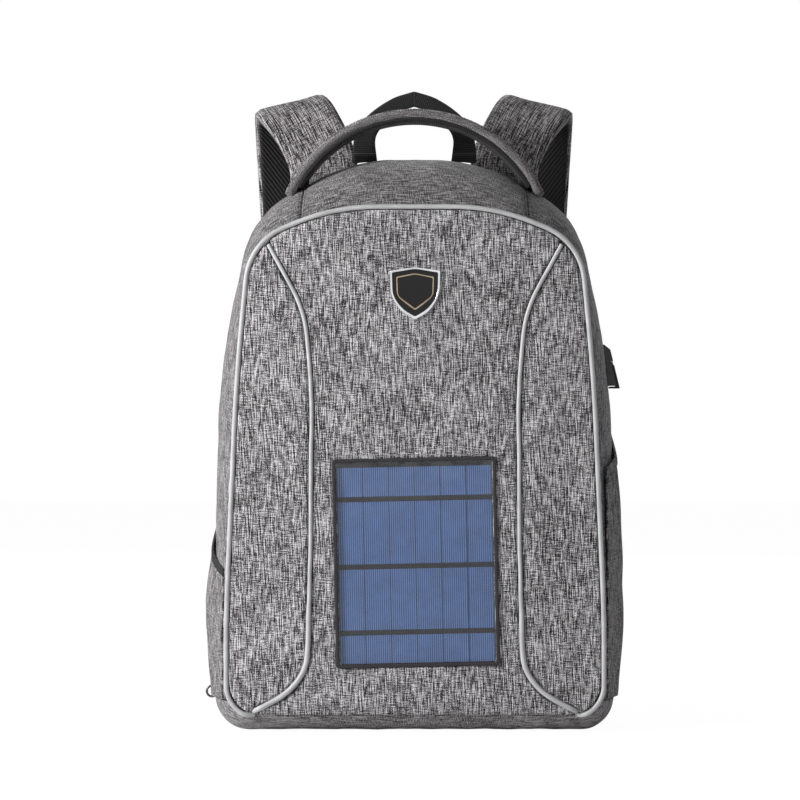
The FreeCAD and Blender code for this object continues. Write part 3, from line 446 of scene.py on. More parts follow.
def slab(name, grid, thickness, material, body, nodes=(), outwards=(0, -1, 0), lip=0.0, wave=None):
    """A sheet with thickness from a grid of its outer face, closed round the border, with a rolled lip.
    wave is (depth, reach, seed) of its soft folds, and held how the sheet hangs."""
    grid = np.asarray(grid, dtype=float)
    normals = grid_normals(grid)
    middle = normals[grid.shape[0] // 2, grid.shape[1] // 2]
    if np.dot(middle, outwards) < 0:
        normals = -normals
    if wave:
        grid = folded(grid.reshape(-1, 3), normals.reshape(-1, 3), *wave).reshape(grid.shape)
    outer = np.array(grid)
    if lip:
        for ring, drop in ((1, 0.3), (0, 1.0)):
            for edge in (np.s_[ring, :], np.s_[-1 - ring, :], np.s_[:, ring], np.s_[:, -1 - ring]):
                outer[edge] = grid[edge] - normals[edge] * lip * drop
    inner = grid - normals * thickness
    rows, columns = grid.shape[:2]
    places = grid_lengths(grid).reshape(-1, 2)
    points = np.concatenate([outer.reshape(-1, 3), inner.reshape(-1, 3)])
    size = rows * columns
    faces = []
    for r in range(rows - 1):
        for c in range(columns - 1):
            a, b = r * columns + c, r * columns + c + 1
            d, e = a + columns, b + columns
            faces.append((a, b, e, d))
            faces.append((size + a, size + d, size + e, size + b))
    border = [(0, c) for c in range(columns)] + [(r, columns - 1) for r in range(1, rows)]
    border += [(rows - 1, c) for c in range(columns - 2, -1, -1)] + [(r, 0) for r in range(rows - 2, 0, -1)]
    ring = [r * columns + c for r, c in border]
    for one, two in zip(ring, ring[1:] + ring[:1]):
        faces.append((two, one, size + one, size + two))
    made = piece(name, points, faces, material, body, nodes, np.concatenate([places, places]))
    return made


def cast(tree, start, direction):
    """Where a ray first strikes, or None."""
    struck = tree.ray_cast(Vector(start), Vector(direction))[0]
    return None if struck is None else tuple(struck)


def gaps_filled(row):
    """Missed rays take the nearest struck point before them, or else after them."""
    for order in (range(1, len(row)), range(len(row) - 2, -1, -1)):
        for index in order:
            if row[index] is None:
                row[index] = row[index - order.step]
    return row


def resampled(line, count):
    """A polyline's points at even distances."""
    line = np.asarray(line, dtype=float)
    lengths = np.concatenate([[0], np.cumsum(np.linalg.norm(np.diff(line, axis=0), axis=1))])
    targets = np.linspace(0, lengths[-1], count)
    return np.stack([np.interp(targets, lengths, line[:, axis]) for axis in range(3)], axis=1)


def angle_to(x, z):
    """The direction of a place from the body's middle."""
    return math.atan2(z - body_middle[1], x - body_middle[0])


RAY_START, NEAR_WALL = 0.6, 0.1


def round_body(tree, y, first, last, count):
    """The skin round the body at one depth, between two angles about its middle, in even steps."""
    line = []
    middle = Vector((body_middle[0], y, body_middle[1]))
    for angle in np.linspace(first, last, 3 * count):
        away = Vector((math.cos(angle), 0, math.sin(angle)))
        struck = cast(tree, middle + RAY_START * away, -away)
        # a ray through an opening would strike the far wall, or stop inside the near one
        if struck is not None and (Vector(struck) - middle).dot(away) > NEAR_WALL:
            line.append(struck)
    return resampled(line, count)


def smooth_line(controls, count):
    """A smooth line through the controls, in even steps."""
    controls = [Vector(c) for c in controls]
    ends = [2 * controls[0] - controls[1]] + controls + [2 * controls[-1] - controls[-2]]
    fine = []
    for i in range(1, len(ends) - 2):
        # a Catmull-Rom span between b and c
        a, b, c, d = ends[i - 1:i + 3]
        for t in np.linspace(0, 1, 24, endpoint=False):
            fine.append(0.5 * ((2 * b) + (c - a) * t + (2 * a - 5 * b + 4 * c - d) * t * t
                               + (3 * b - 3 * c + d - a) * t ** 3))
    fine.append(ends[-2])
    return resampled([tuple(p) for p in fine], count)


def swept(line, outwards, across, profile):
    """Points and faces of a closed profile, given as (across, outwards), carried along a line of places."""
    points, faces, count, total = [], [], len(profile(0.0)), len(line)
    for index, place in enumerate(line):
        for a, o in profile(index / (total - 1)):
            points.append(np.asarray(place) + np.asarray(across[index]) * a + np.asarray(outwards[index]) * o)
    for ring in range(total - 1):
        for k in range(count):
            a, b = ring * count + k, ring * count + (k + 1) % count
            faces.append((a, b, b + count, a + count))
    faces.append(tuple(range(count - 1, -1, -1)))
    faces.append(tuple((total - 1) * count + k for k in range(count)))
    return points, faces, count


def padded_profile(half_width, low, high, crown, round_off, steps=14):
    """A padded band's profile: crowned above, flat below, its edges rounded off."""
    ring = []
    for k in range(steps + 1):
        s = -1 + 2 * k / steps
        ring.append((s * half_width, high - crown * s * s - round_off * abs(s) ** 10))
    for k in range(steps, -1, -1):
        s = -1 + 2 * k / steps
        ring.append((s * half_width, low + round_off * 0.5 * abs(s) ** 10))
    return ring


def band_places(line, count, width):
    """Cloth places of a swept band: round its profile, and along its line."""
    line = np.asarray(line)
    along = np.concatenate([[0], np.cumsum(np.linalg.norm(np.diff(line, axis=0), axis=1))])
    return np.array([(u, v) for v in along for u in np.linspace(0, 2 * width, count)])


# ---- Geometry Nodes: small beads along a line, for stitches and zip teeth ----
def bead_tree(name, follows):
    """Beads of a named size at a named pitch on a curve; follows turns each along the curve."""
    tree = bpy.data.node_groups.new(name, "GeometryNodeTree")
    face = tree.interface
    face.new_socket("Line", in_out="INPUT", socket_type="NodeSocketGeometry")
    sockets = {}
    for label, kind, value in (("Pitch", "NodeSocketFloat", 3 * MM), ("Size", "NodeSocketVector", (1, 1, 1)),
                               ("Thread", "NodeSocketMaterial", None)):
        socket = face.new_socket(label, in_out="INPUT", socket_type=kind)
        if value is not None:
            socket.default_value = value
        sockets[label] = socket.identifier
    face.new_socket("Beads", in_out="OUTPUT", socket_type="NodeSocketGeometry")
    given = add(tree, "NodeGroupInput")
    steps = add(tree, "GeometryNodeResampleCurve", {"Curve": given.outputs["Line"],
                                                    "Length": given.outputs["Pitch"]}, mode="LENGTH")
    bead = add(tree, "GeometryNodeMeshUVSphere", {"Segments": 6, "Rings": 4, "Radius": 0.5})
    ready = {"Points": steps.outputs["Curve"], "Instance": bead.outputs["Mesh"], "Scale": given.outputs["Size"]}
    if follows:
        tangent = add(tree, "GeometryNodeInputTangent")
        turned = add(tree, "FunctionNodeAlignRotationToVector", {"Vector": tangent.outputs[0]}, axis="Z")
        ready["Rotation"] = turned.outputs[0]
    placed = add(tree, "GeometryNodeInstanceOnPoints", ready)
    real = add(tree, "GeometryNodeRealizeInstances", {"Geometry": placed.outputs[0]})
    coloured = add(tree, "GeometryNodeSetMaterial", {"Geometry": real.outputs[0],
                                                     "Material": given.outputs["Thread"]})
    add(tree, "NodeGroupOutput", {"Beads": coloured.outputs[0]})
    return tree, sockets


STITCHES = bead_tree("stitches", follows=True)
TEETH = bead_tree("zip_teeth", follows=False)


def beaded(name, lines, trees, pitch, size, material, body, nodes=()):
    """One mesh of beads along these lines."""
    tree, sockets = trees
    curve = bpy.data.curves.new(name, "CURVE")
    curve.dimensions = "3D"
    for line in lines:
        spline = curve.splines.new("POLY")
        spline.points.add(len(line) - 1)
        for point, place in zip(spline.points, line):
            point.co = (*place, 1)
    made = linked(name, curve)
    step = made.modifiers.new("beads", "NODES")
    step.node_group = tree
    for label, value in (("Pitch", pitch), ("Size", size), ("Thread", material)):
        step[sockets[label]] = value
    mesh = worked_out(made)
    mesh.name = name
    return finished(linked(name, mesh), material, body, nodes)


def stitched(name, lines, material, body, pitch=3.2 * MM, length=2.3 * MM, width=0.55 * MM):
    """Rows of stitches; the thread is thicker than life, so that it shows."""
    return beaded(name, lines, STITCHES, pitch, (width, width, length), material, body)


# ---- Floor, background and light ----
floor_mesh = mesh_from("floor", [(-5, -5, 0), (5, -5, 0), (5, 5, 0), (-5, 5, 0)], [(0, 1, 2, 3)])
floor = linked("floor", floor_mesh)
floor.location.z = cad_low[2] - 0.2 * MM
floor_paint, floor_tree, floor_shader = new_material("pale_floor", Roughness=0.85)
floor_grain = add(floor_tree, "ShaderNodeTexNoise", {"Scale": 3.0})
floor_tone = add(floor_tree, "ShaderNodeValToRGB", {0: floor_grain.outputs["Fac"]},
                 stops=((0.3, "f6f6f6"), (0.7, "f9f9f9")))
floor_tree.links.new(floor_tone.outputs["Color"], floor_shader.inputs["Base Color"])
# seen directly, the floor is lifted to white and keeps part of the shadow
FLOOR_GLOW, FLOOR_LIFT = 1.07, 0.9
floor_rays = add(floor_tree, "ShaderNodeLightPath")
glow = add(floor_tree, "ShaderNodeEmission", {"Color": colour("ffffff"), "Strength": FLOOR_GLOW})
lift = add(floor_tree, "ShaderNodeMath", {0: floor_rays.outputs["Is Camera Ray"], 1: FLOOR_LIFT},
           operation="MULTIPLY")
floor_mix = add(floor_tree, "ShaderNodeMixShader", {0: lift.outputs[0], 1: floor_shader.outputs[0],
                                                    2: glow.outputs[0]})
floor_tree.links.new(floor_mix.outputs[0], floor_tree.nodes["Material Output"].inputs["Surface"])
floor_mesh.materials.append(floor_paint)

world = bpy.data.worlds.new("studio")
bpy.context.scene.world = world
world.use_nodes = True
sky = world.node_tree
sky.nodes.clear()
# metal, glass and the camera see plain white; the object is lit by a low even studio light
STUDIO_LIGHT = 0.15
rays = add(sky, "ShaderNodeLightPath").outputs
seen = add(sky, "ShaderNodeMath", {0: rays["Is Camera Ray"], 1: rays["Is Glossy Ray"]}, operation="MAXIMUM")
seen = add(sky, "ShaderNodeMath", {0: seen.outputs[0], 1: rays["Is Transmission Ray"]}, operation="MAXIMUM")
plain = add(sky, "ShaderNodeBackground", {"Color": colour("ffffff"), "Strength": 1.0})
studio = add(sky, "ShaderNodeBackground", {"Color": colour("f5f6f8"), "Strength": STUDIO_LIGHT})
either = add(sky, "ShaderNodeMixShader", {0: seen.outputs[0], 1: studio.outputs[0], 2: plain.outputs[0]})
add(sky, "ShaderNodeOutputWorld", {"Surface": either.outputs[0]})

# each lamp's place and size in metres, and its watts, aimed at the middle of the bag
LAMPS = (("key", (-2.0, -1.1, 1.0), (0.8, 0.8), 61), ("fill", (0.9, -2.4, 0.8), (1.3, 1.3), 1),
         ("rear", (0.4, 2.0, 1.2), (1.6, 1.2), 13))
LAMP_AIM = Vector((0, 0, 0.25))
for name, place, size, power in LAMPS:
    lamp = bpy.data.lights.new(name, "AREA")
    lamp.shape = "RECTANGLE"
    lamp.size, lamp.size_y = size
    lamp.energy = power
    stand = linked(name, lamp)
    stand.location = place
    stand.rotation_euler = (LAMP_AIM - Vector(place)).to_track_quat("-Z", "Y").to_euler()


# ---- Front: crowned centre and side panels ----
FRONT_PANELS = ("front_centre_panel", "front_left_panel", "front_right_panel")
FOLD_DEPTH, FOLD_REACH = 1.1 * MM, 30 * MM
STILL_WITHIN, STILL_FADE = 1.5 * MM, 9 * MM
CREASES_BELOW, CREASES_FROM_X, CREASE_DEPTH = 0.13, 0.08, 0.45 * MM
front_face = surface_of(*FRONT_PANELS)
still = surface_of("outer_piping", "inner_pipings", "window_frame", "badge_rim")
for node, seed in zip(FRONT_PANELS, (1.0, 5.0, 9.0)):
    points, faces, normals = softened([node], 1.5 * MM, 2)
    # the cloth lies still where a piping, the window or the badge holds it
    held = np.array([still.find_nearest(Vector(p))[3] for p in points])
    facing = normals * (normals[:, 1:2] < -0.5) * np.clip((held - STILL_WITHIN) / STILL_FADE, 0, 1)[:, None]
    points = folded(points, facing, FOLD_DEPTH, FOLD_REACH, seed, (1.0, 1.0, 0.45))
    # the cloth drags into slanted creases low on the side panels
    low_corner = np.clip((CREASES_BELOW - points[:, 2]) / CREASES_BELOW, 0, 1)
    low_corner = low_corner * np.clip((np.abs(points[:, 0]) - CREASES_FROM_X) / 0.05, 0, 1)
    slant = np.sign(points[:, 0]) * points[:, 0] * 0.8 + points[:, 2] * 0.35
    crease = np.sin(slant / (3.2 * MM)) * np.sin(points[:, 2] / (17 * MM) + seed)
    points = points + facing * (low_corner * crease * CREASE_DEPTH)[:, None]
    panel = piece(node + "_cloth", points, faces, FRONT_CLOTH, PACK, [node], points[:, [0, 2]])

# ---- Pipings, and the stitch rows beside the inner ones ----
points, faces, _ = softened(["outer_piping"], 0.7 * MM, 3)
# each tail sinks behind the hem, where the seam takes it in
TAIL_FROM_X, TAIL_LENGTH, TAIL_BELOW = 0.138, 13 * MM, 60 * MM
tail = np.clip((TAIL_FROM_X - np.abs(points[:, 0])) / TAIL_LENGTH, 0, 1) * (points[:, 2] < TAIL_BELOW)
points[:, 1] += tail ** 1.5 * 6.5 * MM
points[:, 2] += tail ** 1.5 * 3.5 * MM
piece("outer_piping_cord", points, faces, PIPING, PACK, ["outer_piping"])


def on_front(x, z, lift=0.15 * MM):
    """A place just off the front's face, or None beside it."""
    struck = cast(front_face, (x, -0.2, z), (0, 1, 0))
    return None if struck is None else (x, struck[1] - lift, z)


def on_skin(places):
    return [place for place in places if place is not None]


CORD_RADIUS, CORD_SWELL = 1.7 * MM, 0.45 * MM


def round_cord(share):
    """The cord's section: the seam opens and the cord swells where it turns outwards."""
    radius = CORD_RADIUS + CORD_SWELL * min(1.0, max(0.0, (0.32 - share) / 0.12))
    turns = np.linspace(0, 2 * math.pi, 14, endpoint=False)
    return [(radius * math.cos(turn), radius * math.sin(turn)) for turn in turns]


def flat_flange(share):
    """The section of the cord's flat flange, the same all along."""
    return [(-5.5 * MM, 0.0), (5.5 * MM, 0.0), (5.5 * MM, 0.8 * MM), (-5.5 * MM, 0.8 * MM)]


points = softened(["inner_pipings"], 0.9 * MM, 1)[0]
right_cord = np.array([p for p in points if p[0] > 0])
cord_places = []
for level in np.arange(right_cord[:, 2].min() + 2.5 * MM, right_cord[:, 2].max() - 2.5 * MM, 3 * MM):
    near = right_cord[np.abs(right_cord[:, 2] - level) < 1.6 * MM]
    cord_places.append(near.mean(axis=0))
cord_places = np.array(cord_places)
for _ in range(3):
    cord_places[1:-1] = (cord_places[:-2] + 2 * cord_places[1:-1] + cord_places[2:]) / 4
# each cord runs on under the outer piping above, and sinks into the hem below
up = cord_places[-1] - cord_places[-3]
down = cord_places[0] - cord_places[2]
up, down = up / np.linalg.norm(up), down / np.linalg.norm(down)
ends = [cord_places[0] + down * reach + np.array([0, sink, 0])
        for reach, sink in ((7 * MM, 4 * MM), (3.5 * MM, 1 * MM))]
top_end = cord_places[-1] + up * 8 * MM + np.array([0, 0.8 * MM, 0])
cord_run = resampled(np.vstack([ends, cord_places, top_end]), 260)
for side, label in ((1, "right"), (-1, "left")):
    run = cord_run * [side, 1, 1]
    ahead = np.gradient(run, axis=0)
    ahead /= np.linalg.norm(ahead, axis=1)[:, None]
    level_way = np.stack([ahead[:, 2], 0 * ahead[:, 0], -ahead[:, 0]], axis=1)
    level_way /= np.linalg.norm(level_way, axis=1)[:, None]
    facing = np.cross(ahead, level_way)
    run[:, 1] -= 0.5 * MM * np.clip((0.3 - np.linspace(0, 1, len(run))) / 0.1, 0, 1)
    tube, faces, _ = swept(run, facing, level_way, round_cord)
    piece(label + "_inner_cord", tube, faces, PIPING, PACK, ["inner_pipings"])
    # the cord's flat flange, sewn in behind both edges of the seam
    back_by = np.array([0, 3.4 * MM, 0])
    tube, faces, _ = swept(run[20:-30] + back_by, np.tile([0.0, 1.0, 0.0], (len(run) - 50, 1)),
                           level_way[20:-30], flat_flange)
    piece(label + "_inner_flange", tube, faces, WELT, PACK)
cord_line = cord_places[2:-2][:, [0, 2]]
heading = np.gradient(cord_line, axis=0)
beside = np.stack([heading[:, 1], -heading[:, 0]], axis=1) / np.linalg.norm(heading, axis=1)[:, None]
rows = []
for mirror in (1, -1):
    for offset in (-3.6 * MM, 3.6 * MM):
        rows.append(on_skin(on_front(mirror * x, z) for x, z in cord_line + beside * offset))
stitched("inner_seam_stitches", rows, DARK_THREAD, PACK)

hem_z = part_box("front_centre_panel")[0].z + 2.6 * MM
HEM_HALF = 0.121
hem = on_skin(on_front(x, hem_z) for x in np.linspace(-HEM_HALF, HEM_HALF, 120))
stitched("hem_stitches", [hem], PALE_THREAD, PACK)

# ---- Solar window ----
low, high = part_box("window_frame")
window_centre = (low + high) / 2
WINDOW_HALF = (65.5 * MM, 83.5 * MM)
FILM_INSET, STITCHES_OUT = 0.8 * MM, 1.9 * MM


def in_window(x, z, y):
    """A place given in the window's own tilted square."""
    return (window_centre.x + x * math.cos(WINDOW_TILT) - z * math.sin(WINDOW_TILT), y,
            window_centre.z + x * math.sin(WINDOW_TILT) + z * math.cos(WINDOW_TILT))


points, faces, _ = softened(["window_frame"], 0.7 * MM, 3)
piece("window_welt", points, faces, WELT, PACK, ["window_frame"])
film_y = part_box("window_film")[0].y
film = []
for z in np.linspace(-1, 1, 90):
    row = []
    for x in np.linspace(-1, 1, 60):
        # the film lies flat but for ripples under its top edge
        near_top = math.exp(-(1 - z) * 20)
        ripple = noise.noise(Vector((x * 9, z * 12, 2.0))) * (0.05 + 0.9 * near_top)
        row.append(in_window(x * (WINDOW_HALF[0] - FILM_INSET), z * (WINDOW_HALF[1] - FILM_INSET),
                             film_y + ripple * MM))
    film.append(row)
slab("window_film_sheet", film, 0.3 * MM, FILM, PACK, ["window_film"])
frame_row = []
for (x0, z0), (x1, z1) in zip(((-1, -1), (1, -1), (1, 1), (-1, 1)), ((1, -1), (1, 1), (-1, 1), (-1, -1))):
    for share in np.linspace(0, 1, 60, endpoint=False):
        x, z = x0 + (x1 - x0) * share, z0 + (z1 - z0) * share
        place = in_window(x * (WINDOW_HALF[0] + STITCHES_OUT), z * (WINDOW_HALF[1] + STITCHES_OUT), 0)
        frame_row.append(on_front(place[0], place[2]))
stitched("window_stitches", [on_skin(frame_row)], PALE_THREAD, PACK, 2.6 * MM, 1.5 * MM, 0.5 * MM)

# ---- Gussets, top and base ----
shell = surface_of("top_gusset", "left_gusset", "right_gusset", "base_panel")
SEAM_GAP = 0.35 * MM
ABOVE, BESIDE = 0.7, 0.4
shell_rear_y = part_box("right_gusset")[1].y
depths = np.linspace(front_seam_y + 0.3 * MM, shell_rear_y - 0.3 * MM, 46)
top_rows, side_rows = [], {1: [], -1: []}
for y in depths:
    top_rows.append([cast(shell, (x, y, ABOVE), (0, 0, -1))
                     for x in np.linspace(-top_seam_x + SEAM_GAP, top_seam_x - SEAM_GAP, 80)])
    for side in (1, -1):
        corner = cast(shell, (side * (top_seam_x + SEAM_GAP), y, ABOVE), (0, 0, -1))
        foot = cast(shell, (side * BESIDE, y, base_seam_z + 0.3 * MM), (-side, 0, 0))
        first, last = angle_to(corner[0], corner[2]), angle_to(foot[0], foot[2])
        if side < 0 and last < 0:
            last += 2 * math.pi
        side_rows[side].append(round_body(shell, y, first, last, 190))
for name, rows, outwards, seed in (("top_gusset", top_rows, (0, 0, 1), 3.0),
                                   ("right_gusset", side_rows[1], (1, 0, 0), 7.0),
                                   ("left_gusset", side_rows[-1], (-1, 0, 0), 12.0)):
    slab(name + "_cloth", evened(rows, 3), 2.0 * MM, GUSSET_CLOTH_PAINTED_SHADE, PACK, [name], outwards,
         1.0 * MM, (0.7 * MM, 30 * MM, seed, (1.0, 0.5, 1.0)))
seam_stitches = []
for side in (1, -1):
    for offset in (-2.4 * MM, 2.4 * MM):
        seam_stitches.append([cast(shell, (side * top_seam_x + offset, y, ABOVE), (0, 0, -1)) for y in depths])
stitched("top_seam_stitches", seam_stitches, DARK_THREAD, PACK)

points, faces, normals = softened(["base_panel"], 1.6 * MM, 3)
# the cloth's run follows the front and the sides, and turns under both
toward_side = np.clip((np.abs(points[:, 0]) - 0.06) / 0.05, 0, 1) * np.sign(points[:, 0])
places = np.stack([points[:, 0] + toward_side * (points[:, 1] + 0.072), points[:, 2] + np.abs(points[:, 1])],
                  axis=1)
points = folded(points, normals, 0.5 * MM, 22 * MM, 21.0)
points[:, 2] = np.maximum(points[:, 2], cad_low[2])
base_cloth = piece("base_cloth", points, faces, BASE_CLOTH_PAINTED_LIGHT, PACK, ["base_panel"], places)

# the outer piping's flange, sewn in behind the seam all round
flange_rows = np.array([round_body(shell, y, -math.pi / 2, 1.5 * math.pi, 330)
                        for y in np.linspace(front_seam_y + 0.4 * MM, front_seam_y + 6 * MM, 4)])
inward = grid_normals(flange_rows)
from_middle = flange_rows - [body_middle[0], 0, body_middle[1]]
inward *= -np.sign(np.sum(inward * from_middle, axis=2, keepdims=True))
slab("outer_flange", flange_rows + inward * 2.2 * MM, 0.7 * MM, WELT, PACK, outwards=(0, 0, 1))


# ---- Side pockets: cloth standing off the gusset, drawn in at the mouth ----
def skin_at(side, y, z):
    """How far out the gusset's skin lies there."""
    struck = cast(shell, (side * 0.3, y, z), (-side, 0, 0))
    return side * (side * 0.16 if struck is None else struck[0])


def standing(tree, side, low, high, bottom, top, columns, drawn):
    """Grid of a sheet that stands off the gusset, seen from its side. bottom and top give its heights, and
    drawn how much of its distance from the gusset is left; its rear edge turns in to the gusset."""
    rows = []
    for y in np.linspace(low.y + 0.4 * MM, high.y - 0.4 * MM, 60):
        share = (y - low.y) / (high.y - low.y)
        heights = np.linspace(bottom(share), top(share), columns)
        row = gaps_filled([cast(tree, (side * 0.3, y, z), (-side, 0, 0)) for z in heights])
        if row[0] is None:
            continue
        near = []
        for (x, _, _), z in zip(row, heights):
            skin = skin_at(side, y, z)
            near.append((side * (skin + (side * x - skin) * drawn(share, z)), y, z))
        rows.append(near)
    grid = evened(rows, 3)
    last = grid[-1]
    skin = np.array([side * (skin_at(side, y, z) + 0.4 * MM) for _, y, z in last])
    for share in (0.15, 0.5, 1.0):
        turned = np.array(last)
        turned[:, 0] = last[:, 0] + (skin - last[:, 0]) * share
        turned[:, 1] = high.y - 0.1 * MM
        grid = np.concatenate([grid, turned[None]])
    return grid


def gathers(row):
    """The small pleats that elastic puts in a gathered edge."""
    return math.sin(row * 1.55)


FRONT_MOUTHS = {-1: 124 * MM, 1: 204 * MM}
# how much of its distance from the gusset each mouth keeps, and how far down the elastic draws the cloth in
MOUTH_LEFT = {-1: 0.42, 1: 0.75}
DRAWN_LENGTH = 34 * MM
elastic_tree = surface_of("pocket_elastics")
ELASTIC_HEIGHT = 8 * MM
for side, label in ((1, "right"), (-1, "left")):
    node = label + "_side_pocket"
    low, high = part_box(node)
    least = MOUTH_LEFT[side]

    def mouth(share, above=0.0):
        return FRONT_MOUTHS[side] + share * (high.z - FRONT_MOUTHS[side]) + above

    def drawn(share, z):
        return 1 - (1 - least) * min(1.0, max(0.0, 1 - (mouth(share) - z) / DRAWN_LENGTH)) ** 1.5

    grid = standing(surface_of(node), side, low, high, lambda share: low.z + 0.5 * MM,
                    lambda share: mouth(share, -0.5 * MM), 80, drawn)
    for r in range(grid.shape[0] - 3):
        for c in range(grid.shape[1]):
            upness = c / (grid.shape[1] - 1)
            gather = 0.45 * MM * upness ** 4 * gathers(r)
            slack = 1.3 * MM * noise.noise(Vector(grid[r, c]) / (30 * MM))
            grid[r, c, 0] += side * (gather + slack * math.sin(math.pi * min(1, 1.2 * upness)))
    slab(label + "_pocket_cloth", grid.transpose(1, 0, 2), 1.5 * MM, POCKET_CLOTH_PAINTED_SHADE, PACK, [node],
         (side, 0, 0), 0.4 * MM)
    band = standing(elastic_tree, side, low, high, lambda share: mouth(share, 0.3 * MM),
                    lambda share: mouth(share, ELASTIC_HEIGHT - 0.3 * MM), 12, lambda share, z: least)
    for r in range(band.shape[0] - 3):
        band[r, :, 0] += side * 0.35 * MM * gathers(r)
    edging = ELASTIC if side < 0 else POCKET_CLOTH_PAINTED_SHADE
    slab(label + "_pocket_edge", band.transpose(1, 0, 2), 1.7 * MM, edging, PACK, ["pocket_elastics"],
         (side, 0, 0), 0.5 * MM)

# ---- Grab handle: a padded band on a circle, its feet sewn into the gusset seams ----
HANDLE_FEET_Z = 436.5 * MM
COVER_THICK, LINING_THICK = 8.5 * MM, 4.5 * MM


def handle_band(name, node, thick, material, crown, feet):
    """The band between its foot and its top, run on down to the seam."""
    low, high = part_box(node)
    rise = high.z - low.z
    outer = (high.x ** 2 + rise ** 2) / (2 * rise)
    centre_z, middle_y, half = high.z - outer, (low.y + high.y) / 2, (high.y - low.y) / 2
    middle = outer - thick / 2
    reach = math.acos((feet - centre_z) / middle)
    angles = np.linspace(-reach, reach, 110)
    line = [(middle * math.sin(t), middle_y, centre_z + middle * math.cos(t)) for t in angles]
    outwards = [(math.sin(t), 0, math.cos(t)) for t in angles]
    across = [(0, 1, 0)] * len(line)
    points, faces, count = swept(line, outwards, across,
                                 lambda share: padded_profile(half, -thick / 2, thick / 2, crown, 0.9 * MM))
    made = piece(name, points, faces, material, None, [node], band_places(line, count, 2 * half))
    # stitch rows near both edges, over most of its length
    rows = []
    for offset in (-0.74, 0.74):
        place = outer - crown * offset ** 2 - 0.1 * MM
        rows.append([(place * math.sin(t), middle_y + offset * half, centre_z + place * math.cos(t))
                     for t in np.linspace(-0.86 * reach, 0.86 * reach, 90)])
    return made, rows


handle_cover, handle_rows = handle_band("handle_cover_band", "handle_cover", COVER_THICK, STRAP_CLOTH,
                                        1.0 * MM, HANDLE_FEET_Z)
handle_lining, _ = handle_band("handle_webbing", "handle_lining", LINING_THICK, WEBBING, 0.0,
                               HANDLE_FEET_Z + 6 * MM)
stitched("handle_stitches", handle_rows, DARK_THREAD, HANDLE)
for band in (handle_cover, handle_lining):
    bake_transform(band)
ROOT_FROM_X, ROOT_SPREAD = 32.5 * MM, 18.5 * MM
for name, node in (("handle_root_rolls", "handle_anchors"), ("hang_loop_roots", "hang_loop_anchors")):
    points, faces, _ = softened([node], 0.8 * MM, 5)
    if node == "hang_loop_anchors":
        # drawn out sideways under the splayed heels of the loop
        reach = np.abs(points[:, 0])
        share = (reach - reach.min()) / (reach.max() - reach.min())
        points[:, 0] = np.sign(points[:, 0]) * (ROOT_FROM_X + ROOT_SPREAD * share)
    piece(name, points, faces, WEBBING, PACK, [node], points[:, [1, 2]])

# ---- Hang loop: one length of webbing folded to a soft point, its legs run into their roots ----
low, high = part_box("hang_loop")
loop_root_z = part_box("hang_loop_anchors")[1].z - 3 * MM
loop_y = (low.y + high.y) / 2
LOOP_HEEL, LOOP_APEX_WIDTH = 22 * MM, 12.5 * MM
# half of the loop, from its root to its point; the other half mirrors it, so that the webbing creases there
half = smooth_line([(42 * MM, loop_y, loop_root_z - 5 * MM), (41.5 * MM, loop_y, low.z + 12 * MM),
                    (34 * MM, loop_y, high.z - 26 * MM), (17.5 * MM, loop_y, high.z - 12.5 * MM),
                    (0, loop_y, high.z - LOOP_APEX_WIDTH / 2)], 60)
line = np.vstack([half * [-1, 1, 1], half[-2::-1]])
tangents = np.gradient(line, axis=0)
tangents /= np.linalg.norm(tangents, axis=1)[:, None]
across = [(-t[2], 0, t[0]) for t in tangents]
outwards = [(0, -1, 0)] * len(line)


def loop_profile(share):
    """The webbing splays at its heels and is folded narrower where it turns over at its point."""
    near_point = 1 - abs(2 * share - 1)
    width = LOOP_HEEL + (LOOP_APEX_WIDTH - LOOP_HEEL) * min(1.0, near_point * 1.35) ** 0.8
    return padded_profile(width / 2, -1.1 * MM, 1.1 * MM, 0.0, 0.4 * MM, 10)


points, faces, count = swept(line, outwards, across, loop_profile)
hang_loop = piece("hang_loop_webbing", points, faces, WEBBING, None, ["hang_loop"],
                  band_places(line, count, LOOP_HEEL))
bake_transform(hang_loop)

# ---- Shoulder straps: the cover wraps the foam, with air mesh inside ----
# the strap's middle line in mm: out from the middle, behind the board, and up from its top
STRAP_PATH = ((75, 7, -30), (79, 8.5, 4), (93, 15, 34), (106, 29, 48), (109, 46, 46), (109, 58, 30),
              (107, 62, -4), (103, 62, -70), (98, 59, -150), (93, 56, -230), (89, 52, -305))
STRAP_WIDTH, STRAP_TIP_WIDTH = 58 * MM, 46 * MM
STRAP_LEAN = math.radians(13)
STRAP_TOP_Z = 469 * MM
COVER_TOP, COVER_CROWN, COVER_ROLL = 6.6 * MM, 1.0 * MM, 2.2 * MM
strap_line = smooth_line([(x * MM, board_rear_y + y * MM, STRAP_TOP_Z + z * MM) for x, y, z in STRAP_PATH], 170)
strap_outwards, strap_across = [], []
for index in range(len(strap_line)):
    ahead = Vector(strap_line[min(index + 1, len(strap_line) - 1)]) - Vector(strap_line[max(index - 1, 0)])
    ahead.normalize()
    side_way = (Vector((1, 0, 0)) - ahead * ahead.x).normalized()
    away = side_way.cross(ahead)
    turn = STRAP_LEAN * math.sin(math.pi * min(1.0, 2 * index / (len(strap_line) - 1)))
    strap_across.append(side_way * math.cos(turn) - away * math.sin(turn))
    strap_outwards.append(away * math.cos(turn) + side_way * math.sin(turn))


def strap_width(share):
    return STRAP_WIDTH + (STRAP_TIP_WIDTH - STRAP_WIDTH) * max(0.0, 2 * share - 1)


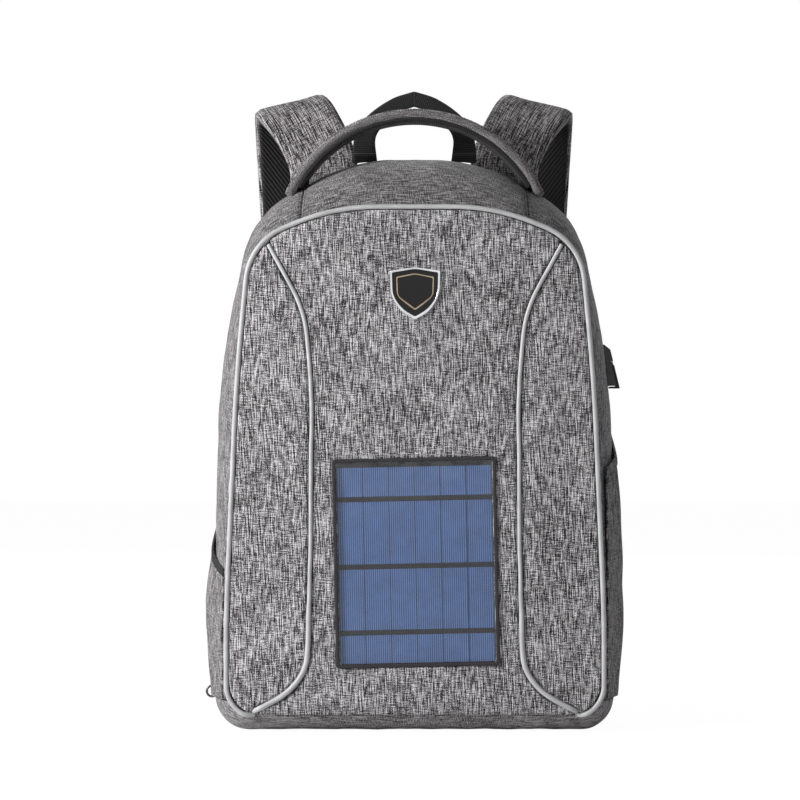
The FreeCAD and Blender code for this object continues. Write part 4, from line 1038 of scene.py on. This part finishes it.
def strap_layer(name, nodes, low, high, material, mirror, crown, inset, round_off):
    """One layer of a strap, between two heights off its middle line."""
    points, faces, count = swept(strap_line, strap_outwards, strap_across, lambda share: padded_profile(
        strap_width(share) / 2 - inset, low, high, crown, round_off, 18))
    if mirror < 0:
        points = [(-p[0], p[1], p[2]) for p in points]
    return piece(name, points, faces, material, PANEL, nodes, band_places(strap_line, count, STRAP_WIDTH))


strap_rows = []
for label, mirror in (("right", 1), ("left", -1)):
    nodes = [label + "_strap_cover"] + (["strap_cores"] if mirror > 0 else [])
    cover = strap_layer(label + "_strap_cover_cloth", nodes, -3.4 * MM, COVER_TOP, STRAP_CLOTH,
                        mirror, COVER_CROWN, 0.0, COVER_ROLL)
    lining = strap_layer(label + "_strap_air_mesh", [label + "_strap_lining"], -6.2 * MM, -3.3 * MM, AIR_MESH,
                         mirror, -0.6 * MM, 2.0 * MM, -0.6 * MM)
    for edge in (-1, 1):
        row = []
        for index in range(4, len(strap_line) - 2):
            share = index / (len(strap_line) - 1)
            reach = edge * (strap_width(share) / 2 - 5 * MM)
            s = reach / (strap_width(share) / 2)
            place = Vector(strap_line[index]) + strap_across[index] * reach
            height = COVER_TOP - COVER_CROWN * s * s - COVER_ROLL * abs(s) ** 10 - 0.05 * MM
            place += strap_outwards[index] * height
            row.append((mirror * place.x, place.y, place.z))
        strap_rows.append(row)
stitched("strap_stitches", strap_rows, DARK_THREAD, PANEL, 3.4 * MM, 2.4 * MM)


# ---- Back panel: board, pads blown up by their foam, luggage strap, sleeve, webbing ----
def inflated(node, cap, pressure=4.0):
    """A pad swelled from its solid by cloth simulation, with its growth capped."""
    made = remeshed([node], 5 * MM, 2)
    mesh = worked_out(made)
    start = read_points(mesh, "co")
    middle = (start.max(axis=0) + start.min(axis=0)) / 2
    start = middle + (start - middle) * np.array([0.985, 0.9, 0.985])
    mesh.vertices.foreach_set("co", start.ravel())
    made = linked("pad", mesh)
    cloth = made.modifiers.new("cloth", "CLOTH")
    cloth.settings.use_pressure = True
    cloth.settings.uniform_pressure_force = pressure
    cloth.settings.effector_weights.gravity = 0
    for step in range(1, 21):
        bpy.context.scene.frame_set(step)
    points, faces, _ = plain_parts(worked_out(made))
    bpy.context.scene.frame_set(1)
    moved = points - start
    length = np.linalg.norm(moved, axis=1, keepdims=True)
    points = start + moved * np.minimum(1.0, cap / np.maximum(length, 1e-9))
    made = linked("pad", mesh_from("pad", points, faces))
    finer = made.modifiers.new("finer", "SUBSURF")
    finer.levels = finer.render_levels = 1
    return plain_parts(worked_out(made))


CHANNEL_PITCH, CHANNEL_DEPTH = 34 * MM, 1.8 * MM
for node in ("right_back_pad", "left_back_pad", "lumbar_pad"):
    low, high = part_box(node)
    points, faces, _ = inflated(node, 5 * MM)
    points[:, 1] = np.maximum(points[:, 1], low.y + 0.1 * MM)
    # sewn channels cross the pad
    phase = np.cos((points[:, 2] - low.z) / CHANNEL_PITCH * 2 * math.pi)
    edge_room = np.minimum(points[:, 0] - low.x, high.x - points[:, 0]) / (12 * MM)
    groove = np.clip(phase - 0.9, 0, 0.1) * 10 * np.clip(edge_room, 0, 1)
    outer = points[:, 1] > (low.y + high.y) / 2
    points[outer, 1] -= groove[outer] * CHANNEL_DEPTH
    pad = piece(node + "_mesh", points, faces, AIR_MESH, PANEL, [node], points[:, [0, 2]])

for name, node, voxel, material, slot in (
        ("back_panel_cloth", "back_panel", 2.5 * MM, TWILL, "back_cloth"),
        ("luggage_strap_cloth", "luggage_strap", 1.0 * MM, STRAP_CLOTH, "side_cloth"),
        ("lower_strap_webbings", "lower_webbings", 0.9 * MM, WEBBING, "webbing"),
        ("strap_anchor_tabs", "strap_anchors", 1.1 * MM, TWILL, "back_cloth")):
    points, faces, _ = softened([node], voxel, 3)
    sheet = piece(name, points, faces, material, PANEL, [node], points[:, [0, 2]])

sleeve_low, sleeve_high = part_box("laptop_sleeve")
SLEEVE_WALL = 1.8 * MM
CORNER = 8 * MM
section = [(sleeve_low.x, sleeve_high.y), (sleeve_low.x, sleeve_low.y + CORNER),
           (sleeve_low.x + CORNER, sleeve_low.y), (sleeve_high.x - CORNER, sleeve_low.y),
           (sleeve_high.x, sleeve_low.y + CORNER), (sleeve_high.x, sleeve_high.y)]
path = resampled([(x, y, 0) for x, y in section], 90)
sleeve = [[(x, y, z) for x, y, _ in path] for z in np.linspace(sleeve_low.z, sleeve_high.z, 60)]
slab("laptop_sleeve_cloth", sleeve, SLEEVE_WALL, TWILL, PANEL, ["laptop_sleeve"], (0, -1, 0),
     0.4 * MM)
foot_across = np.linspace(sleeve_low.x + 2 * MM, sleeve_high.x - 2 * MM, 60)
sleeve_foot = [[(x, y, sleeve_low.z + 0.2 * MM) for x in foot_across]
               for y in np.linspace(sleeve_low.y + 2 * MM, sleeve_high.y, 6)]
slab("laptop_sleeve_foot", sleeve_foot, SLEEVE_WALL, TWILL, PANEL, ["laptop_sleeve"], (0, 0, -1))

# ---- Rear rim and the zip round the body ----
def rim_grid(node, depths, count):
    """A strip of skin round the body, from its left foot over the top to its right foot."""
    tree = surface_of(node)
    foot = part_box(node)[0].z + 0.4 * MM
    rows = []
    for y in depths:
        ends = [cast(tree, (side * BESIDE, y, foot), (-side, 0, 0)) for side in (1, -1)]
        first, last = (angle_to(end[0], end[2]) for end in ends)
        run = round_body(tree, y, first, last + 2 * math.pi if last < 0 else last, count)
        # both ends run on down into the base seam
        drop = np.array([0, 0, 2.6 * MM])
        rows.append(np.vstack([run[:1] - drop, run, run[-1:] - drop]))
    return evened(rows, 1)


def between(node, steps, inset=0.3 * MM):
    """Depths across a node, just inside both of its edges."""
    low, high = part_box(node)
    return np.linspace(low.y + inset, high.y - inset, steps)


slab("back_rim_cloth", rim_grid("back_rim", between("back_rim", 6), 330), 2.0 * MM, GUSSET_CLOTH_PAINTED_SHADE, PANEL,
     ["back_rim"], (0, 0, 1), 0.6 * MM)
ZIP_PITCH = 2.0 * MM
for node, body, chain in (("shell_zip_tape", PACK, "shell_zip_chain"),
                          ("panel_zip_tape", PANEL, "panel_zip_chain")):
    slab(node + "_cloth", rim_grid(node, between(node, 5), 330), 0.9 * MM, ZIP_TAPE, body, [node],
         (0, 0, 1), 0.2 * MM)
    grid = rim_grid(chain, between(chain, 3, 0.2 * MM), 700)
    low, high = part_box(chain)
    away = grid[1] - np.array([body_middle[0], grid[1][0, 1], body_middle[1]])
    away /= np.linalg.norm(away, axis=1)[:, None]
    line = grid[1] - away * 0.9 * MM
    beaded(chain + "_coil", [line], TEETH, ZIP_PITCH, (1.5 * MM, high.y - low.y, 1.5 * MM), COIL, body, [chain])


# ---- Hard parts: the CAD solids with rolled edges ----
def rolled(node, width, material, body):
    """A copy of a hard solid, its flats made whole and its edges rolled."""
    points, faces = node_mesh(node)
    whole = bmesh.new()
    corners = [whole.verts.new(p) for p in points]
    for face in faces:
        whole.faces.new([corners[i] for i in face])
    bmesh.ops.remove_doubles(whole, verts=whole.verts, dist=0.002 * MM)
    bmesh.ops.dissolve_limit(whole, angle_limit=math.radians(1.0), verts=whole.verts, edges=whole.edges)
    mesh = bpy.data.meshes.new(node)
    whole.to_mesh(mesh)
    whole.free()
    mesh.polygons.foreach_set("use_smooth", [True] * len(mesh.polygons))
    made = linked(node, mesh)
    roll = made.modifiers.new("roll", "BEVEL")
    roll.width = width
    roll.segments = 2
    roll.limit_method = "ANGLE"
    roll.angle_limit = math.radians(32)
    roll.harden_normals = True
    mesh = worked_out(made)
    mesh.materials.clear()
    mesh.materials.append(material)
    rolled_piece = linked(node + "_finished", mesh)
    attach(rolled_piece, body)
    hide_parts(node)


for node, width, material, body, slot in (
        ("badge_rim", 0.35, CHROME, PACK, "badge_chrome"), ("badge_plate", 0.2, ENAMEL, PACK, "badge_enamel"),
        ("port_housing", 0.5, PORT_PLASTIC, PACK, "port_plastic"),
        ("port_flap", 0.3, RUBBER, "port_flap", "port_rubber"),
        ("zip_slider", 0.3, DARK_NICKEL, "zip_slider", "zip_metal"),
        ("left_ladder_lock", 0.6, ACETAL, "left_lock", "buckle_plastic"),
        ("right_ladder_lock", 0.6, ACETAL, "right_lock", "buckle_plastic")):
    rolled(node, width * MM, material, body)

# the pull ring, a round wire bent to a ring
ring_low, ring_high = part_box("zip_pull_ring")
ring_middle = (ring_low + ring_high) / 2
WIRE = (ring_high.y - ring_low.y) / 2
RING = (ring_high.z - ring_low.z) / 2 - WIRE
ROUND, WRAP = 64, 16
points, faces = [], []
for turn_step in range(ROUND):
    around = 2 * math.pi * turn_step / ROUND
    for wrap_step in range(WRAP):
        wrap = 2 * math.pi * wrap_step / WRAP
        out = RING + WIRE * math.cos(wrap)
        points.append((ring_middle.x + out * math.cos(around), ring_middle.y + WIRE * math.sin(wrap),
                       ring_middle.z + out * math.sin(around)))
        a, b = turn_step * WRAP + wrap_step, turn_step * WRAP + (wrap_step + 1) % WRAP
        c, d = (a + WRAP) % (ROUND * WRAP), (b + WRAP) % (ROUND * WRAP)
        faces.append((a, b, d, c))
piece("zip_pull_ring_wire", points, faces, DARK_NICKEL, "zip_pull", ["zip_pull_ring"])

# ---- Solids whose shape is already right, with their finishes ----
FINISHES = {
    "solar_laminate": LAMINATE, "solar_cells": CELLS, "regulator_case": CASE_ABS, "regulator_lid": CASE_ABS,
    "regulator_board": CIRCUIT, "regulator_usb_socket": STEEL, "badge_inlay": CHAMPAGNE,
    "badge_backing_plate": STEEL, "port_tongue": PORT_PLASTIC, "port_back_plate": PORT_PLASTIC,
    "port_flap_pin": STEEL, "port_screws": STEEL, "port_socket_shell": STEEL, "base_board": BOARD,
}
for node, material in FINISHES.items():
    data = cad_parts[node].data
    data.materials.clear()
    data.materials.append(material)
